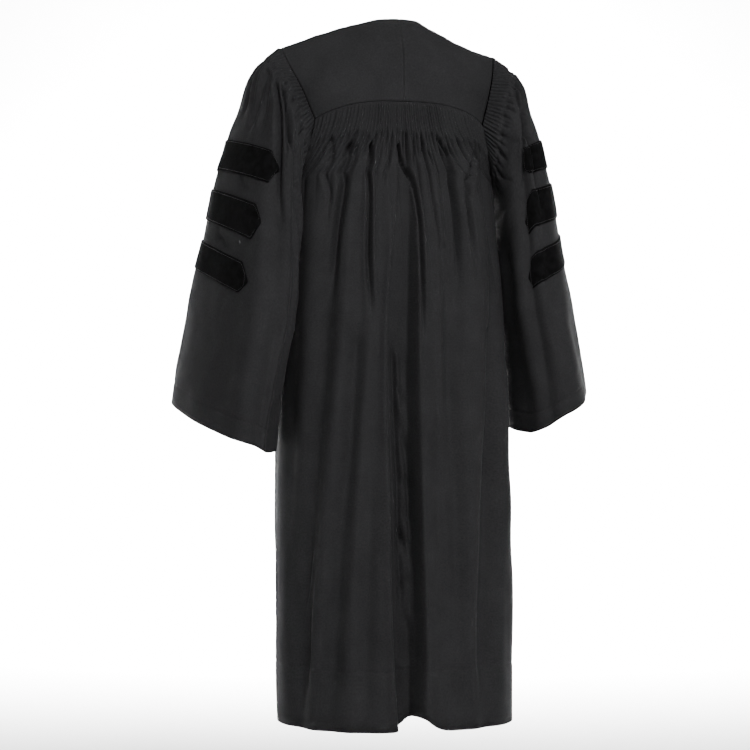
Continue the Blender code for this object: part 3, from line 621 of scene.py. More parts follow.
def new_material(name, **constants):
    """A material and its Principled shader, with the constants set on the shader's own sockets."""
    material = bpy.data.materials.new(name)
    material.use_nodes = True
    shader = material.node_tree.nodes["Principled BSDF"]
    for key, value in constants.items():
        shader.inputs[key.replace("_", " ")].default_value = value
    return material, shader


def two_colours(material, factor, dark, light):
    mix = add_node(material, "ShaderNodeMix", {"data_type": "RGBA"}, {0: factor})
    mix.inputs[6].default_value = linear(dark)
    mix.inputs[7].default_value = linear(light)
    return mix.outputs[2]


def noise(material, place, scale, detail, roughness=0.5):
    """Noise from 0 to 1, over the places given or over the object's own."""
    inputs = {"Scale": scale, "Detail": detail, "Roughness": roughness}
    if place is not None:
        inputs["Vector"] = place
    return add_node(material, "ShaderNodeTexNoise", None, inputs).outputs["Fac"]


def remapped(material, value, **limits):
    """A value moved from one range to another."""
    inputs = {key.replace("_", " "): limit for key, limit in limits.items()}
    return add_node(material, "ShaderNodeMapRange", None, {"Value": value, **inputs}).outputs[0]


def bump(material, height, strength, distance, under=None):
    """The normal of a surface with raised heights, over an earlier bump if there is one."""
    inputs = {"Strength": strength, "Distance": distance, "Height": height}
    if under is not None:
        inputs["Normal"] = under
    return add_node(material, "ShaderNodeBump", None, inputs).outputs["Normal"]


def math_node(material, operation, *values):
    return add_node(material, "ShaderNodeMath", {"operation": operation}, dict(enumerate(values))).outputs[0]


def object_place(material):
    return add_node(material, "ShaderNodeTexCoord").outputs["Object"]


def connect(material, shader, **outputs):
    """Links outputs to the shader's sockets of the same names."""
    for key, output in outputs.items():
        material.node_tree.links.new(output, shader.inputs[key.replace("_", " ")])
    return material


print("mid gray is", [round(v, 3) for v in linear("#808080")[:3]])

# %% Gown cloth
THREAD_DRAWN = 0.0011
CLOTH_FLECK = 0.0030
CLOTH_PATCH = 0.060
CLOTH_RUMPLE = 0.028
VELVET_BRUSHED = 0.012
VELVET_PILE = 0.0012


def make_gown_cloth():
    """Plain-woven matte polyester: dark gray, dull, with a fine fleck and slightly uneven dye."""
    material, shader = new_material("matte_black_woven_polyester", Roughness=0.86, Sheen_Weight=0.04,
                                    Sheen_Roughness=0.40, Specular_IOR_Level=0.06, IOR=1.5)
    shader.inputs["Sheen Tint"].default_value = linear("#8a8a8c")
    place = add_node(material, "ShaderNodeUVMap", {"uv_map": "cut"}).outputs["UV"]
    solid_place = object_place(material)
    fleck = noise(material, place, 1 / CLOTH_FLECK, 2.0, 0.6)
    patch = noise(material, solid_place, 1 / CLOTH_PATCH, 3.0, 0.55)
    blend = math_node(material, "MULTIPLY_ADD", fleck, 0.65, math_node(material, "MULTIPLY", patch, 0.35))
    spread = remapped(material, blend, From_Min=0.3, From_Max=0.7)
    threads = []
    for direction in ("X", "Y"):
        wave = add_node(material, "ShaderNodeTexWave", {"bands_direction": direction},
                        {"Vector": place, "Scale": 2 * math.pi / (20 * THREAD_DRAWN), "Distortion": 0.6,
                         "Detail": 1.0, "Detail Scale": 2.0})
        threads.append(wave.outputs["Fac"])
    weave = bump(material, math_node(material, "MULTIPLY", *threads), 0.35, 0.0003)
    rumple = noise(material, solid_place, 1 / CLOTH_RUMPLE, 3.0)
    return connect(material, shader, Base_Color=two_colours(material, spread, "#1a1a1b", "#242425"),
                   Normal=bump(material, rumple, 0.30, 0.0030, weave))


def make_velvet():
    """Cotton velvet: a deep black pile that catches light only at a grazing angle."""
    material, shader = new_material("black_cotton_velvet", Roughness=1.0, Sheen_Weight=0.10,
                                    Sheen_Roughness=0.30, Specular_IOR_Level=0.05)
    shader.inputs["Sheen Tint"].default_value = linear("#4a4a4c")
    place = object_place(material)
    brushed = noise(material, place, 1 / VELVET_BRUSHED, 4.0, 0.6)
    spread = remapped(material, brushed, From_Min=0.35, From_Max=0.65)
    pile = noise(material, place, 1 / VELVET_PILE, 2.0, 0.7)
    return connect(material, shader, Base_Color=two_colours(material, spread, "#050505", "#0b0b0c"),
                   Normal=bump(material, pile, 0.5, 0.0006))


gown_cloth = make_gown_cloth()
velvet = make_velvet()
print("materials:", gown_cloth.name, velvet.name)

# %% [markdown]
# ## The back panel
#
# Six columns to a flute keep the tiny tubes round. The rows are close together in the fluted band
# and where the gathers start, and further apart below, where the cloth falls in long soft folds.

# %% Make the back
BACK_COLUMNS_PER_FLUTE = 6
HEM_LINE_CLOSE = 0.008


def make_back():
    across = np.linspace(0.0, 1.0, BACK_COLUMNS_PER_FLUTE * BACK_FLUTES + 1)
    hem_line = last_drop - HEM_FOLD
    drops = stations(0.0, (0.012, 5), (0.10, 23), (0.40, 45), (hem_line - HEM_LINE_CLOSE, 51),
                     (hem_line + HEM_LINE_CLOSE, 8), (last_drop, 4))
    return shell_object("gown_back", back_surface(across, drops), WALL, gown_cloth)


gown_back = make_back()

# %% [markdown]
# ## The yoke
#
# The yoke is the plain, fitted piece that carries the whole weight over the shoulders. It is cut
# in two halves with a seam down the middle of the back. Its lower edge is the curved seam that
# the flutes hang from, and its outer edge is the armhole.

# %% The yoke's surface
BACK_NECK = (0.0, 0.0705, -0.001)
CENTRE_BACK = ((0.0, 0.099, -0.100), (0.0, 0.090, -0.045), BACK_NECK)
NECKLINE = (BACK_NECK, (0.036, 0.058, -0.002), (0.058, 0.028, -0.006), (0.064, 0.0, -0.007),
            (0.070, -0.035, -0.020))
ARMHOLE_OVER = ((0.179, 0.052, -0.125), (0.193, 0.030, -0.088), (0.202, 0.0, -0.054), (0.197, -0.026, -0.066),
                (0.188, -0.046, -0.090))
NECK_CORNER = 0.5
BACK_ROUNDING = 0.95
BACK_ROUNDING_START = (0.0, 0.2)
BACK_ROUNDING_END = (0.38, NECK_CORNER)
YOKE_SEAM_REACH = 0.75
SHOULDER_BULGE = 0.004
SHOULDER_RISE = (0.0, 0.5)
SHOULDER_FALL = (0.7, 1.0)
SHOULDER_SAG = {"left": 0.0, "right": 0.009}
SHOULDER_SAG_START = (0.15, 0.45)
SHOULDER_SAG_END = (0.70, 1.0)
YOKE_WRINKLES = (Noise(0.0011, 7, 8, 51), Noise(0.0006, 15, 13, 53))
YOKE_SEAM_TURN = 0.0012
CENTRE_SEAM_GROOVE = 0.0005
CENTRE_SEAM_SIDE = (0.0, 0.016)
CENTRE_SEAM_FADE = (0.36, 0.44)


def yoke_surface(across, over, detail=True):
    """Points of the left yoke half: across 0 at the neck to 1 at the armhole, over 0 behind to 1 in front."""
    across = np.asarray(across, float)
    over = np.asarray(over, float)
    seam = back_surface(0.5 - 0.5 * across, [0.0], plain=True)[0]
    seam[:, 2] += SEAM_GAP
    centre = curve((tuple(seam[0]),) + CENTRE_BACK, np.clip(over / NECK_CORNER, 0, 1))
    neck = curve(NECKLINE, np.clip((over - NECK_CORNER) / (1 - NECK_CORNER), 0, 1))
    inside = np.where((over < NECK_CORNER)[:, None], centre, neck)
    outside = curve((tuple(seam[-1]),) + ARMHOLE_OVER, over)
    grid = inside[:, None] * (1 - across[:, None]) + outside[:, None] * across[:, None]
    straight = seam[0] * (1 - across[:, None]) + seam[-1] * across[:, None]
    grid = grid + (seam - straight)[None] * ((1 - ramp(over, 0.0, YOKE_SEAM_REACH))[:, None, None])
    rounding = -BACK_ROUNDING * across * (1 - across) ** 3
    free = ramp(over, *BACK_ROUNDING_START) * (1 - ramp(over, *BACK_ROUNDING_END))
    grid[..., 1] += free[:, None] * rounding[None, :] * (outside[:, 1] - inside[:, 1])[:, None]
    crown = SHOULDER_BULGE * 4 * across * (1 - across)
    grid[..., 2] += crown[None, :] * (ramp(over, *SHOULDER_RISE) * (1 - ramp(over, *SHOULDER_FALL)))[:, None]
    if not detail:
        return grid
    wide = across[None, :]
    deep = over[:, None]
    inner = ramp(wide, 0.0, 0.06) * (1 - ramp(wide, 0.93, 1.0))
    inner = inner * ramp(deep, 0.0, 0.05) * (1 - ramp(deep, 0.95, 1))
    centre_seam = (1 - ramp(wide, *CENTRE_SEAM_SIDE)) * (1 - ramp(deep, *CENTRE_SEAM_FADE))
    turned_in = YOKE_SEAM_TURN * (1 - ramp(deep, 0.0, 0.012)) + CENTRE_SEAM_GROOVE * centre_seam
    return moved(grid, turned_in - wrinkled(YOKE_WRINKLES, wide, deep) * inner)


def make_yoke(side):
    across = np.linspace(0.0, 1.0, 81)
    over = stations(0.0, (0.03, 7), (1.0, 69))
    grid = yoke_surface(across, over)
    sag = ramp(over, *SHOULDER_SAG_START) * (1 - ramp(over, *SHOULDER_SAG_END))
    grid[..., 2] -= SHOULDER_SAG[side] * sag[:, None] * np.sin(math.pi * across)[None, :]
    grid[over < NECK_CORNER, 0, 0] = 0.0
    grid[..., 0] = np.maximum(grid[..., 0], 0.0)
    inner = moved(grid, np.full(grid.shape[:2], WALL))
    level = directions(grid)[-1] * np.array([1.0, 1.0, 0.0])
    inner[-1] = grid[-1] + level / np.linalg.norm(level, axis=1, keepdims=True) * WALL
    inner[over < NECK_CORNER, 0, 0] = 0.0
    inner[..., 0] = np.maximum(inner[..., 0], 0.0)
    return shell_object("gown_yoke_" + side, grid, WALL, gown_cloth, mirrored=side == "right", inner=inner)


yokes = {side: make_yoke(side) for side in ("left", "right")}

# %% [markdown]
# ## The fronts
#
# The photograph doesn't show the front, so it is finished plainly: two panels from the yoke to
# the hem that meet at a zip, with folds like those behind but shallower.

# %% The front's surface
CHEST_HEIGHT = -0.22
CHEST_BULGE = 0.006
FRONT_NECK = ((0.066, -0.060, -0.042), (0.042, -0.084, -0.074), (0.0, -0.100, -0.100))
FRONT_CORNER = 0.55
ZIP_HALF_GAP = 0.0035
FRONT_CREASES = (
    Crease(((0.10, 0.06), (0.115, 0.20), (0.105, 0.42)), 0.0090, 0.006),
    Crease(((0.18, 0.10), (0.172, 0.26), (0.18, 0.50)), 0.0100, 0.006),
    Crease(((0.055, 0.22), (0.070, 0.40), (0.060, 0.62)), 0.0090, 0.005),
    Crease(((0.235, 0.22), (0.228, 0.40), (0.236, 0.66)), 0.0100, 0.005),
    Crease(((0.14, 0.45), (0.15, 0.70), (0.14, 1.00)), 0.0110, 0.006),
)
FRONT_WIDTH = 0.29
FRONT_TOP = 0.09
FRONT_LENGTH = 1.2
FRONT_SIDE_CALM = (0.0, 0.12)
FRONT_ZIP_CALM = (0.90, 1.0)
FRONT_TOP_CALM = (0.02, 0.12)
FRONT_WRINKLES = (Noise(0.0020, 13, 9, 0), Noise(0.0012, 22, 16, 1))
FRONT_SEED = {"left": 61, "right": 71}
FRONT_SHIFT = {"left": 0.0, "right": 0.012}


def front_surface(across, chest_rows, heights, side="left", detail=True):
    """Points of the left front: across 0 at the armhole and side seam to 1 at the zip."""
    across = np.asarray(across, float)
    seam_part = np.clip(1 - across / FRONT_CORNER, 0, 1)
    seam = yoke_surface(seam_part, [1.0], detail=False)[0]
    seam[:, 2] -= SEAM_GAP
    seam[:, 1] -= SEAM_GAP
    neck_end = yoke_surface([0.0], [1.0], detail=False)[0, 0] - np.array([0.0, SEAM_GAP, SEAM_GAP])
    neck = curve((tuple(neck_end),) + FRONT_NECK, np.clip((across - FRONT_CORNER) / (1 - FRONT_CORNER), 0, 1))
    top = np.where((across <= FRONT_CORNER)[:, None], seam, neck)

    def low_row(height):
        edge = -armhole_angle(height) - SIDE_SEAM_ANGLE
        angle = edge + across * (-(math.pi / 2) - edge)
        point, out = body_form(angle, np.full_like(angle, height))
        drawn_in = fold_depth(FRONT_FOLDS, angle, np.full_like(angle, -height))
        return point - out * drawn_in[:, None]

    chest = low_row(CHEST_HEIGHT)
    rows = []
    for part in np.linspace(0.0, 1.0, chest_rows + 1)[:-1]:
        row = top * (1 - part) + chest * part
        row[:, 1] -= CHEST_BULGE * 4 * part * (1 - part) * np.sin(math.pi * across) ** 2
        rows.append(row)
    rows.append(chest)
    rows.extend(low_row(height) for height in heights)
    grid = np.array(rows)
    grid[..., 0] = np.maximum(grid[..., 0], ZIP_HALF_GAP)
    if not detail:
        return grid
    wide = across[None, :]
    drop = -FRONT_TOP - grid[..., 2].mean(axis=1)[:, None]
    calm = ramp(wide, *FRONT_SIDE_CALM) * (1 - ramp(wide, *FRONT_ZIP_CALM)) * ramp(drop, *FRONT_TOP_CALM)
    wrinkles = wrinkled(FRONT_WRINKLES, wide, drop / FRONT_LENGTH, FRONT_SEED[side])
    creases = crease_depth(FRONT_CREASES, wide * FRONT_WIDTH + FRONT_SHIFT[side], drop)
    return moved(grid, (wrinkles - creases) * calm - hem_groove(grid[..., 2] - HEM_LINE))


def make_front(side):
    across = np.linspace(0.0, 1.0, 141)
    heights = stations(CHEST_HEIGHT, (-0.40, 24), (HEM_LINE + HEM_LINE_CLOSE, 61),
                       (HEM_LINE - HEM_LINE_CLOSE, 8), (HEM_HEIGHT, 4))[1:]
    grid = front_surface(across, 26, heights, side)
    grid[:, -1, 0] = ZIP_HALF_GAP
    inner = moved(grid, np.full(grid.shape[:2], -WALL))
    inner[:, -1, 0] = ZIP_HALF_GAP
    below = grid[:, 0, 2] < UNDERARM_HEIGHT
    inner[below, 0, 1] = grid[below, 0, 1]
    return shell_object("gown_front_" + side, grid, -WALL, gown_cloth, mirrored=side == "right", inner=inner)


fronts = {side: make_front(side) for side in ("left", "right")}

# %% [markdown]
# ## The sleeves
#
# A bell sleeve is a wide tube. Its head is drawn up into flutes, like the back, and sewn round the
# armhole. The form is a row of slanting rings: tight at the shoulder and wide at the cuff, with a
# cuff that hangs lower towards the body.

# %% The sleeve's surface
SleeveRing = namedtuple(
    "SleeveRing", "along centre_x centre_y centre_z half_x half_y outer_rise inner_fall back_fall skew bow")
SLEEVE = (
    SleeveRing(0.055, 0.2170, 0.002, -0.1980, 0.0245, 0.098, 0.1130, 0.126, 0.000, 0.00, 0.026),
    SleeveRing(0.160, 0.2320, 0.012, -0.2060, 0.0375, 0.116, 0.0410, 0.142, 0.012, 0.08, 0.012),
    SleeveRing(0.300, 0.2460, 0.024, -0.2800, 0.0500, 0.124, 0.0200, 0.098, 0.016, 0.18, 0.000),
    SleeveRing(0.500, 0.2640, 0.024, -0.4400, 0.0615, 0.140, 0.0250, 0.046, 0.030, 0.20, 0.000),
    SleeveRing(0.770, 0.2860, 0.012, -0.5950, 0.0700, 0.158, 0.0180, 0.022, 0.038, 0.14, 0.000),
    SleeveRing(1.000, 0.3006, 0.000, -0.7200, 0.0745, 0.170, 0.0180, 0.032, 0.036, 0.10, 0.000),
)
SLEEVE_SEED = {"left": 81, "right": 91}
SLEEVE_SQUARENESS = 2.3
UNDERARM_SPREAD = (0.04, 0.20)
SLEEVE_LIFT = {"left": -0.006, "right": 0.024}
SLEEVE_OUTER_LIFT = {"left": -0.002, "right": 0.027}
SLEEVE_LIFT_TURN = math.radians(50.0)
SLEEVE_FLARE = {"left": 0.006, "right": 0.000}
SLEEVE_BACK_PULL = {"left": 0.013, "right": 0.000}
SLEEVE_BACK_PULL_ANGLE = (118.0, 32.0)
SLEEVE_LAP = 0.0009
SLEEVE_WALL_ROOM = 0.0016
ARMHOLE_STEPS = 200
SLEEVE_FOLD_LIP = 0.3
SLEEVE_FOLD_FADE = (0.12, 0.15)
SLEEVE_FLUTES = 92
SLEEVE_COLUMNS_PER_FLUTE = 5
SLEEVE_FLUTE_RAISE = 0.0056
SLEEVE_FLUTE_ENDS = (0.34, 0.42)
SLEEVE_BAND = 0.032
SLEEVE_BAND_RAGGED = 0.0045
SLEEVE_BAND_START = (0.0, 0.002)
SLEEVE_BAND_END = (-0.002, 0.004)
SLEEVE_PINCH = 0.0022
SLEEVE_PINCH_PLACE = (0.006, 0.004)
SLEEVE_GATHERS = 26
SLEEVE_GATHER_DEPTH = 0.0062
SLEEVE_GATHER_START = (0.030, 0.042)
# Gathers reach this far, and so much further on the outside, within so many degrees
SLEEVE_GATHER_FADE = 0.044
SLEEVE_GATHER_REACH = 0.068
SLEEVE_GATHER_MORE = 0.085
SLEEVE_GATHER_OUTSIDE = 42.0
SLEEVE_GATHER_SPREAD = 0.03
SLEEVE_GATHER_LEVEL = 0.7
SLEEVE_GATHER_DRIFT = 0.8
SLEEVE_GATHER_DRIFT_ALONG = (0.06, 0.25)
SLEEVE_SMALL_GATHER_DEPTH = 0.0026
SLEEVE_SMALL_GATHER_END = (0.042, 0.065)
SLEEVE_WRINKLES = (Noise(0.0016, 16, 9, 3), Noise(0.0010, 24, 18, 4))
SLEEVE_HEM_LINE = 0.935
SLEEVE_HEM_CLOSE = 0.010
SLEEVE_GIRTH = 0.50
SLEEVE_LENGTH = 0.62

SleeveFold = namedtuple("SleeveFold", "top_angle low_angle start end half_width depth")
SLEEVE_FOLDS = {
    "left": (
        SleeveFold(38, 30, 0.03, 0.34, 10, 0.006),
        SleeveFold(62, 78, 0.04, 0.62, 10, 0.009),
        SleeveFold(108, 122, 0.10, 1.10, 13, 0.014),
        SleeveFold(84, 92, 0.55, 1.40, 12, 0.009),
        SleeveFold(150, 140, 0.30, 1.40, 12, 0.008),
        SleeveFold(-48, -40, 0.04, 0.60, 11, 0.008),
        SleeveFold(-92, -100, 0.10, 1.40, 13, 0.012),
        SleeveFold(-140, -138, 0.30, 1.40, 12, 0.008),
    ),
    "right": (
        SleeveFold(26, 20, 0.03, 0.40, 11, 0.003),
        SleeveFold(70, 74, 0.04, 0.80, 13, 0.009),
        SleeveFold(104, 112, 0.10, 1.40, 13, 0.013),
        SleeveFold(44, 40, 0.60, 1.40, 13, 0.005),
        SleeveFold(148, 142, 0.30, 1.40, 12, 0.008),
        SleeveFold(-52, -46, 0.04, 0.60, 11, 0.008),
        SleeveFold(-96, -92, 0.10, 1.40, 13, 0.012),
        SleeveFold(-142, -136, 0.30, 1.40, 12, 0.008),
    ),
}

# Places across are metres round the sleeve from its outside through the back, then metres down it
SLEEVE_CREASES = {
    "left": (
        Crease(((0.037, 0.034), (0.030, 0.086), (0.018, 0.152)), 0.0060, 0.0091),
        Crease(((0.047, 0.040), (0.044, 0.089), (0.043, 0.135)), 0.0045, 0.0052),
        Crease(((0.060, 0.046), (0.074, 0.086), (0.085, 0.131), (0.099, 0.218), (0.122, 0.268)),
               0.0055, 0.0130),
        Crease(((0.098, 0.050), (0.105, 0.080), (0.116, 0.124), (0.150, 0.150)), 0.0060, 0.0182),
        Crease(((0.068, 0.036), (0.086, 0.060), (0.100, 0.100), (0.112, 0.160)), 0.0040, 0.0120),
        Crease(((0.112, 0.050), (0.132, 0.082), (0.158, 0.110)), 0.0045, 0.0117),
        Crease(((0.160, 0.120), (0.184, 0.231), (0.190, 0.330)), 0.0080, 0.0130),
        Crease(((-0.050, 0.040), (-0.058, 0.100), (-0.050, 0.190)), 0.0060, 0.0091),
        Crease(((-0.090, 0.040), (-0.104, 0.110), (-0.120, 0.240)), 0.0065, 0.0117),
        Crease(((0.004, 0.034), (0.000, 0.070), (-0.004, 0.120)), 0.0050, 0.0052),
        Crease(((0.082, 0.250), (0.086, 0.420), (0.092, 0.760)), 0.0200, -0.0117),
        Crease(((0.020, 0.206), (0.034, 0.218), (0.056, 0.222)), 0.0045, 0.0052),
        Crease(((-0.010, 0.286), (0.014, 0.300), (0.040, 0.298)), 0.0050, 0.0065),
    ),
    "right": (
        Crease(((0.046, 0.024), (0.066, 0.060), (0.110, 0.100), (0.170, 0.150)), 0.0060, 0.0130),
        Crease(((0.058, 0.026), (0.080, 0.046), (0.092, 0.070)), 0.0045, 0.0078),
        Crease(((0.026, 0.036), (0.030, 0.080), (0.034, 0.130)), 0.0050, 0.0065),
        Crease(((0.084, 0.060), (0.100, 0.140), (0.104, 0.230)), 0.0070, 0.0130),
        Crease(((-0.050, 0.040), (-0.056, 0.110), (-0.050, 0.200)), 0.0060, 0.0091),
        Crease(((-0.092, 0.040), (-0.106, 0.120), (-0.116, 0.260)), 0.0065, 0.0117),
    ),
}


def armhole_line(count):
    """The armhole on the panels' own edges, from the shoulder point backwards and round, with normals."""
    yoke = yoke_surface(np.linspace(0.0, 1.0, 9), np.linspace(0.0, 1.0, 13), detail=False)
    back_drops = (0.0, 0.006, 0.049, 0.062, 0.085, 0.105, 0.1247, 0.165)
    front_heights = (-0.250, -0.275, -0.293, UNDERARM_HEIGHT)
    back = back_surface(np.linspace(0.0, 1.0, 70), back_drops, plain=True)
    front = front_surface(np.linspace(0.0, 1.0, 16), 4, front_heights, detail=False)
    yoke_edge = np.concatenate([yoke, -directions(yoke)], axis=2)[:, -1]
    back_edge = np.concatenate([back, -directions(back)], axis=2)[:, 0]
    front_edge = np.concatenate([front, directions(front)], axis=2)[:, 0]
    back_edge = back_edge[back_edge[:, 2] > UNDERARM_HEIGHT - SEAM_GAP]
    top = int(np.argmax(yoke_edge[:, 2]))
    line = np.concatenate([yoke_edge[top::-1], back_edge, front_edge[::-1], yoke_edge[:top - 1:-1]])
    steps = np.linalg.norm(np.diff(line[:, :3], axis=0), axis=1)
    total = np.concatenate([[0.0], np.cumsum(steps)])
    low = int(np.argmin(line[:, 2]))
    halves = (np.linspace(0.0, total[low], count), np.linspace(total[low], total[-1], count)[1:])
    where = np.concatenate(halves)
    line = np.stack([np.interp(where, total, line[:, axis]) for axis in range(6)], axis=1)
    return line[:, :3], line[:, 3:] / np.linalg.norm(line[:, 3:], axis=1, keepdims=True)


def sleeve_ring(ring, angle):
    """A ring of the sleeve, at angles from the outside through the back."""
    across = np.cos(angle)
    along = np.sin(angle)
    power = SLEEVE_SQUARENESS
    radius = (np.abs(across) ** power + np.abs(along) ** power) ** (-1 / power)
    across = across * radius
    along = along * radius
    x = ring.centre_x + ring.half_x * across - ring.skew * ring.half_y * along - ring.bow * along**2
    y = ring.centre_y + ring.half_y * along
    z = ring.centre_z + ring.outer_rise * np.maximum(across, 0) + ring.inner_fall * np.minimum(across, 0)
    z = z - ring.back_fall * along
    return np.stack([x, y, z], axis=-1)


def sleeve_seat(round_places):
    """The sleeve's first ring, lapped over the armhole's edge all round."""
    points, normals = armhole_line(ARMHOLE_STEPS)
    line = np.concatenate([points, normals], axis=1)
    line_places = np.linspace(0.0, 1.0, len(line))
    line = np.stack([np.interp(round_places % 1.0, line_places, line[:, axis]) for axis in range(6)], axis=1)
    over_arm = ramp(np.abs(round_places % 1.0 - 0.5), *UNDERARM_SPREAD)[:, None]
    return line[:, :3] + line[:, 3:] * (SLEEVE_LAP + SLEEVE_WALL_ROOM * over_arm)


def sleeve_surface(round_places, along, side, detail=True):
    """Points of the left-hand sleeve: places 0 to 1 from the outside through the back."""
    round_places = np.asarray(round_places, float)
    along = np.asarray(along, float)
    angle = 2 * math.pi * round_places
    rings = [sleeve_seat(round_places)] + [sleeve_ring(ring, angle) for ring in SLEEVE]
    knots = [0.0] + column(SLEEVE, "along")
    grid = through(knots, np.array(rings).reshape(len(rings), -1), along)
    grid = grid.reshape(len(along), len(angle), 3)
    from_seat = np.linalg.norm(grid - rings[0][None], axis=2)
    degrees = (np.degrees(angle) + 180.0) % 360.0 - 180.0
    outer = np.clip(np.cos(angle), 0.0, 1.0)[None, :]
    lifted = np.clip(np.cos(angle - SLEEVE_LIFT_TURN), 0.0, 1.0)[None, :]
    grid[..., 2] += (along**2)[:, None] * (SLEEVE_LIFT[side] + SLEEVE_OUTER_LIFT[side] * lifted)
    pulled = SLEEVE_BACK_PULL[side] * bell(degrees, *SLEEVE_BACK_PULL_ANGLE)[None, :]
    grid[..., 0] += ramp(along, 0.60, 1.0)[:, None] * (pulled + SLEEVE_FLARE[side] * outer)
    total = np.zeros(grid.shape[:2])
    for fold in SLEEVE_FOLDS[side]:
        part = np.clip((along - fold.start) / (1 - fold.start), 0, 1)[:, None]
        middle = fold.top_angle + (fold.low_angle - fold.top_angle) * part
        away = ((degrees[None, :] - middle + 180.0) % 360.0 - 180.0) / fold.half_width
        fade = ramp(along, fold.start, fold.start + SLEEVE_FOLD_FADE[0])
        fade = fade * (1 - ramp(along, fold.end - SLEEVE_FOLD_FADE[1], fold.end))
        total = total + fold.depth * fade[:, None] * valley(away, SLEEVE_FOLD_LIP)
    if not detail:
        return moved(grid, total, closed=True)
    wide = ((degrees + 180.0) / 360.0)[None, :]
    deep = along[:, None]
    seed = SLEEVE_SEED[side]
    metres_round = (degrees / 360.0 * SLEEVE_GIRTH)[None, :]
    metres_down = deep * SLEEVE_LENGTH
    joined = ramp(wide, 0.0, 0.04) * (1 - ramp(wide, 0.96, 1.0))
    creases = crease_depth(SLEEVE_CREASES[side], metres_round, metres_down)
    over_arm = (1 - ramp(np.abs(degrees) / 360.0, *SLEEVE_FLUTE_ENDS))[None, :]
    uneven = soft_noise(wide, deep, 30, 6, seed)
    # The lower end of the stitching is a little ragged
    past_band = from_seat - SLEEVE_BAND - SLEEVE_BAND_RAGGED * soft_noise(wide, deep * 0, 46, 1, seed + 5)
    drift = SLEEVE_GATHER_DRIFT * ramp(deep, *SLEEVE_GATHER_DRIFT_ALONG)
    drift = drift * soft_noise(wide, deep, 12, 4, seed + 1)
    reach = SLEEVE_GATHER_REACH + SLEEVE_GATHER_MORE * bell(degrees, 0.0, SLEEVE_GATHER_OUTSIDE)[None, :]
    fade = 1 - ramp(from_seat, SLEEVE_GATHER_FADE, reach + SLEEVE_GATHER_SPREAD * uneven)
    gathers = SLEEVE_GATHER_DEPTH * ramp(from_seat, *SLEEVE_GATHER_START) * fade * (0.5 + 0.5 * uneven)
    gathers = gathers * (valley_wave(SLEEVE_GATHERS * wide + drift) - SLEEVE_GATHER_LEVEL)
    small = ramp(past_band, *SLEEVE_BAND_END) * (1 - ramp(from_seat, *SLEEVE_SMALL_GATHER_END))
    small = small * (valley_wave(SLEEVE_FLUTES / 2 * wide + 0.4 * uneven) - SLEEVE_GATHER_LEVEL)
    gathers = (gathers + SLEEVE_SMALL_GATHER_DEPTH * small) * over_arm * joined
    sewn = ramp(from_seat, *SLEEVE_BAND_START) * (1 - ramp(past_band, *SLEEVE_BAND_END))
    pinch = SLEEVE_PINCH * bell(past_band, *SLEEVE_PINCH_PLACE) * over_arm
    flutes = SLEEVE_FLUTE_RAISE * sewn * over_arm * (0.9 + 0.3 * soft_noise(wide, deep, 90, 24, seed + 2))
    jitter = 0.18 * soft_noise(wide, deep, 90, 24, seed + 6)
    flutes = flutes * (0.5 * valley_wave(SLEEVE_FLUTES * round_places[None, :] + jitter) - 0.2)
    wrinkles = wrinkled(SLEEVE_WRINKLES, wide, deep, seed) * joined * ramp(deep, 0.08, 0.20)
    hem = hem_groove((deep - SLEEVE_HEM_LINE) * SLEEVE_LENGTH)
    return moved(grid, total + creases + hem + pinch - gathers - flutes - wrinkles, closed=True)


def make_sleeve(side):
    around = np.arange(SLEEVE_COLUMNS_PER_FLUTE * SLEEVE_FLUTES) / (SLEEVE_COLUMNS_PER_FLUTE * SLEEVE_FLUTES)
    along = stations(0.0, (0.008, 4), (0.07, 15), (0.30, 33), (SLEEVE_HEM_LINE - SLEEVE_HEM_CLOSE, 47),
                     (SLEEVE_HEM_LINE + SLEEVE_HEM_CLOSE, 7), (1.0, 4))
    grid = sleeve_surface(around, along, side)
    return shell_object("gown_sleeve_" + side, grid, WALL, gown_cloth, closed=True, mirrored=side == "right")


sleeves = {side: make_sleeve(side) for side in ("left", "right")}

# %% [markdown]
# ## The velvet bars
#
# Each bar is a strip of velvet, turned under along its edges, with a point at both ends, and sewn
# flat to the sleeve. It has a soft, rounded edge because the pile stands up. The bar is made on
# the sleeve's own surface and then lifted off it, so it follows every fold below.

# %% Make the bars
BAR_COLUMNS = 91
BAR_ROWS = 19
BAR_POINT = 0.026
BAR_TIP = 0.06
BAR_EDGE_ROWS = 1.6
BAR_SLANT_PIVOT = 0.7
BAR_EDGE_ROUND = 0.0022
VELVET_GAP = 0.0008
VELVET_BASE = 0.0004
VELVET_WALL = 0.0016

# A bar's first and last place round the sleeve in degrees from its outside, its middle and half
# height along the sleeve, and how much further down its back end lies than its front end
Bar = namedtuple("Bar", "front_end back_end middle half_height slant")
BARS = {
    "left": (
        Bar(-97.0, 64.0, 0.288, 0.0400, 0.014),
        Bar(-104.0, 53.0, 0.4105, 0.0365, 0.020),
        Bar(-108.0, 46.0, 0.5380, 0.0395, 0.026),
    ),
    "right": (
        Bar(-62.0, 99.0, 0.250, 0.0400, -0.050),
        Bar(-56.0, 112.0, 0.366, 0.0390, -0.034),
        Bar(-56.0, 114.0, 0.488, 0.0370, -0.020),
    ),
}


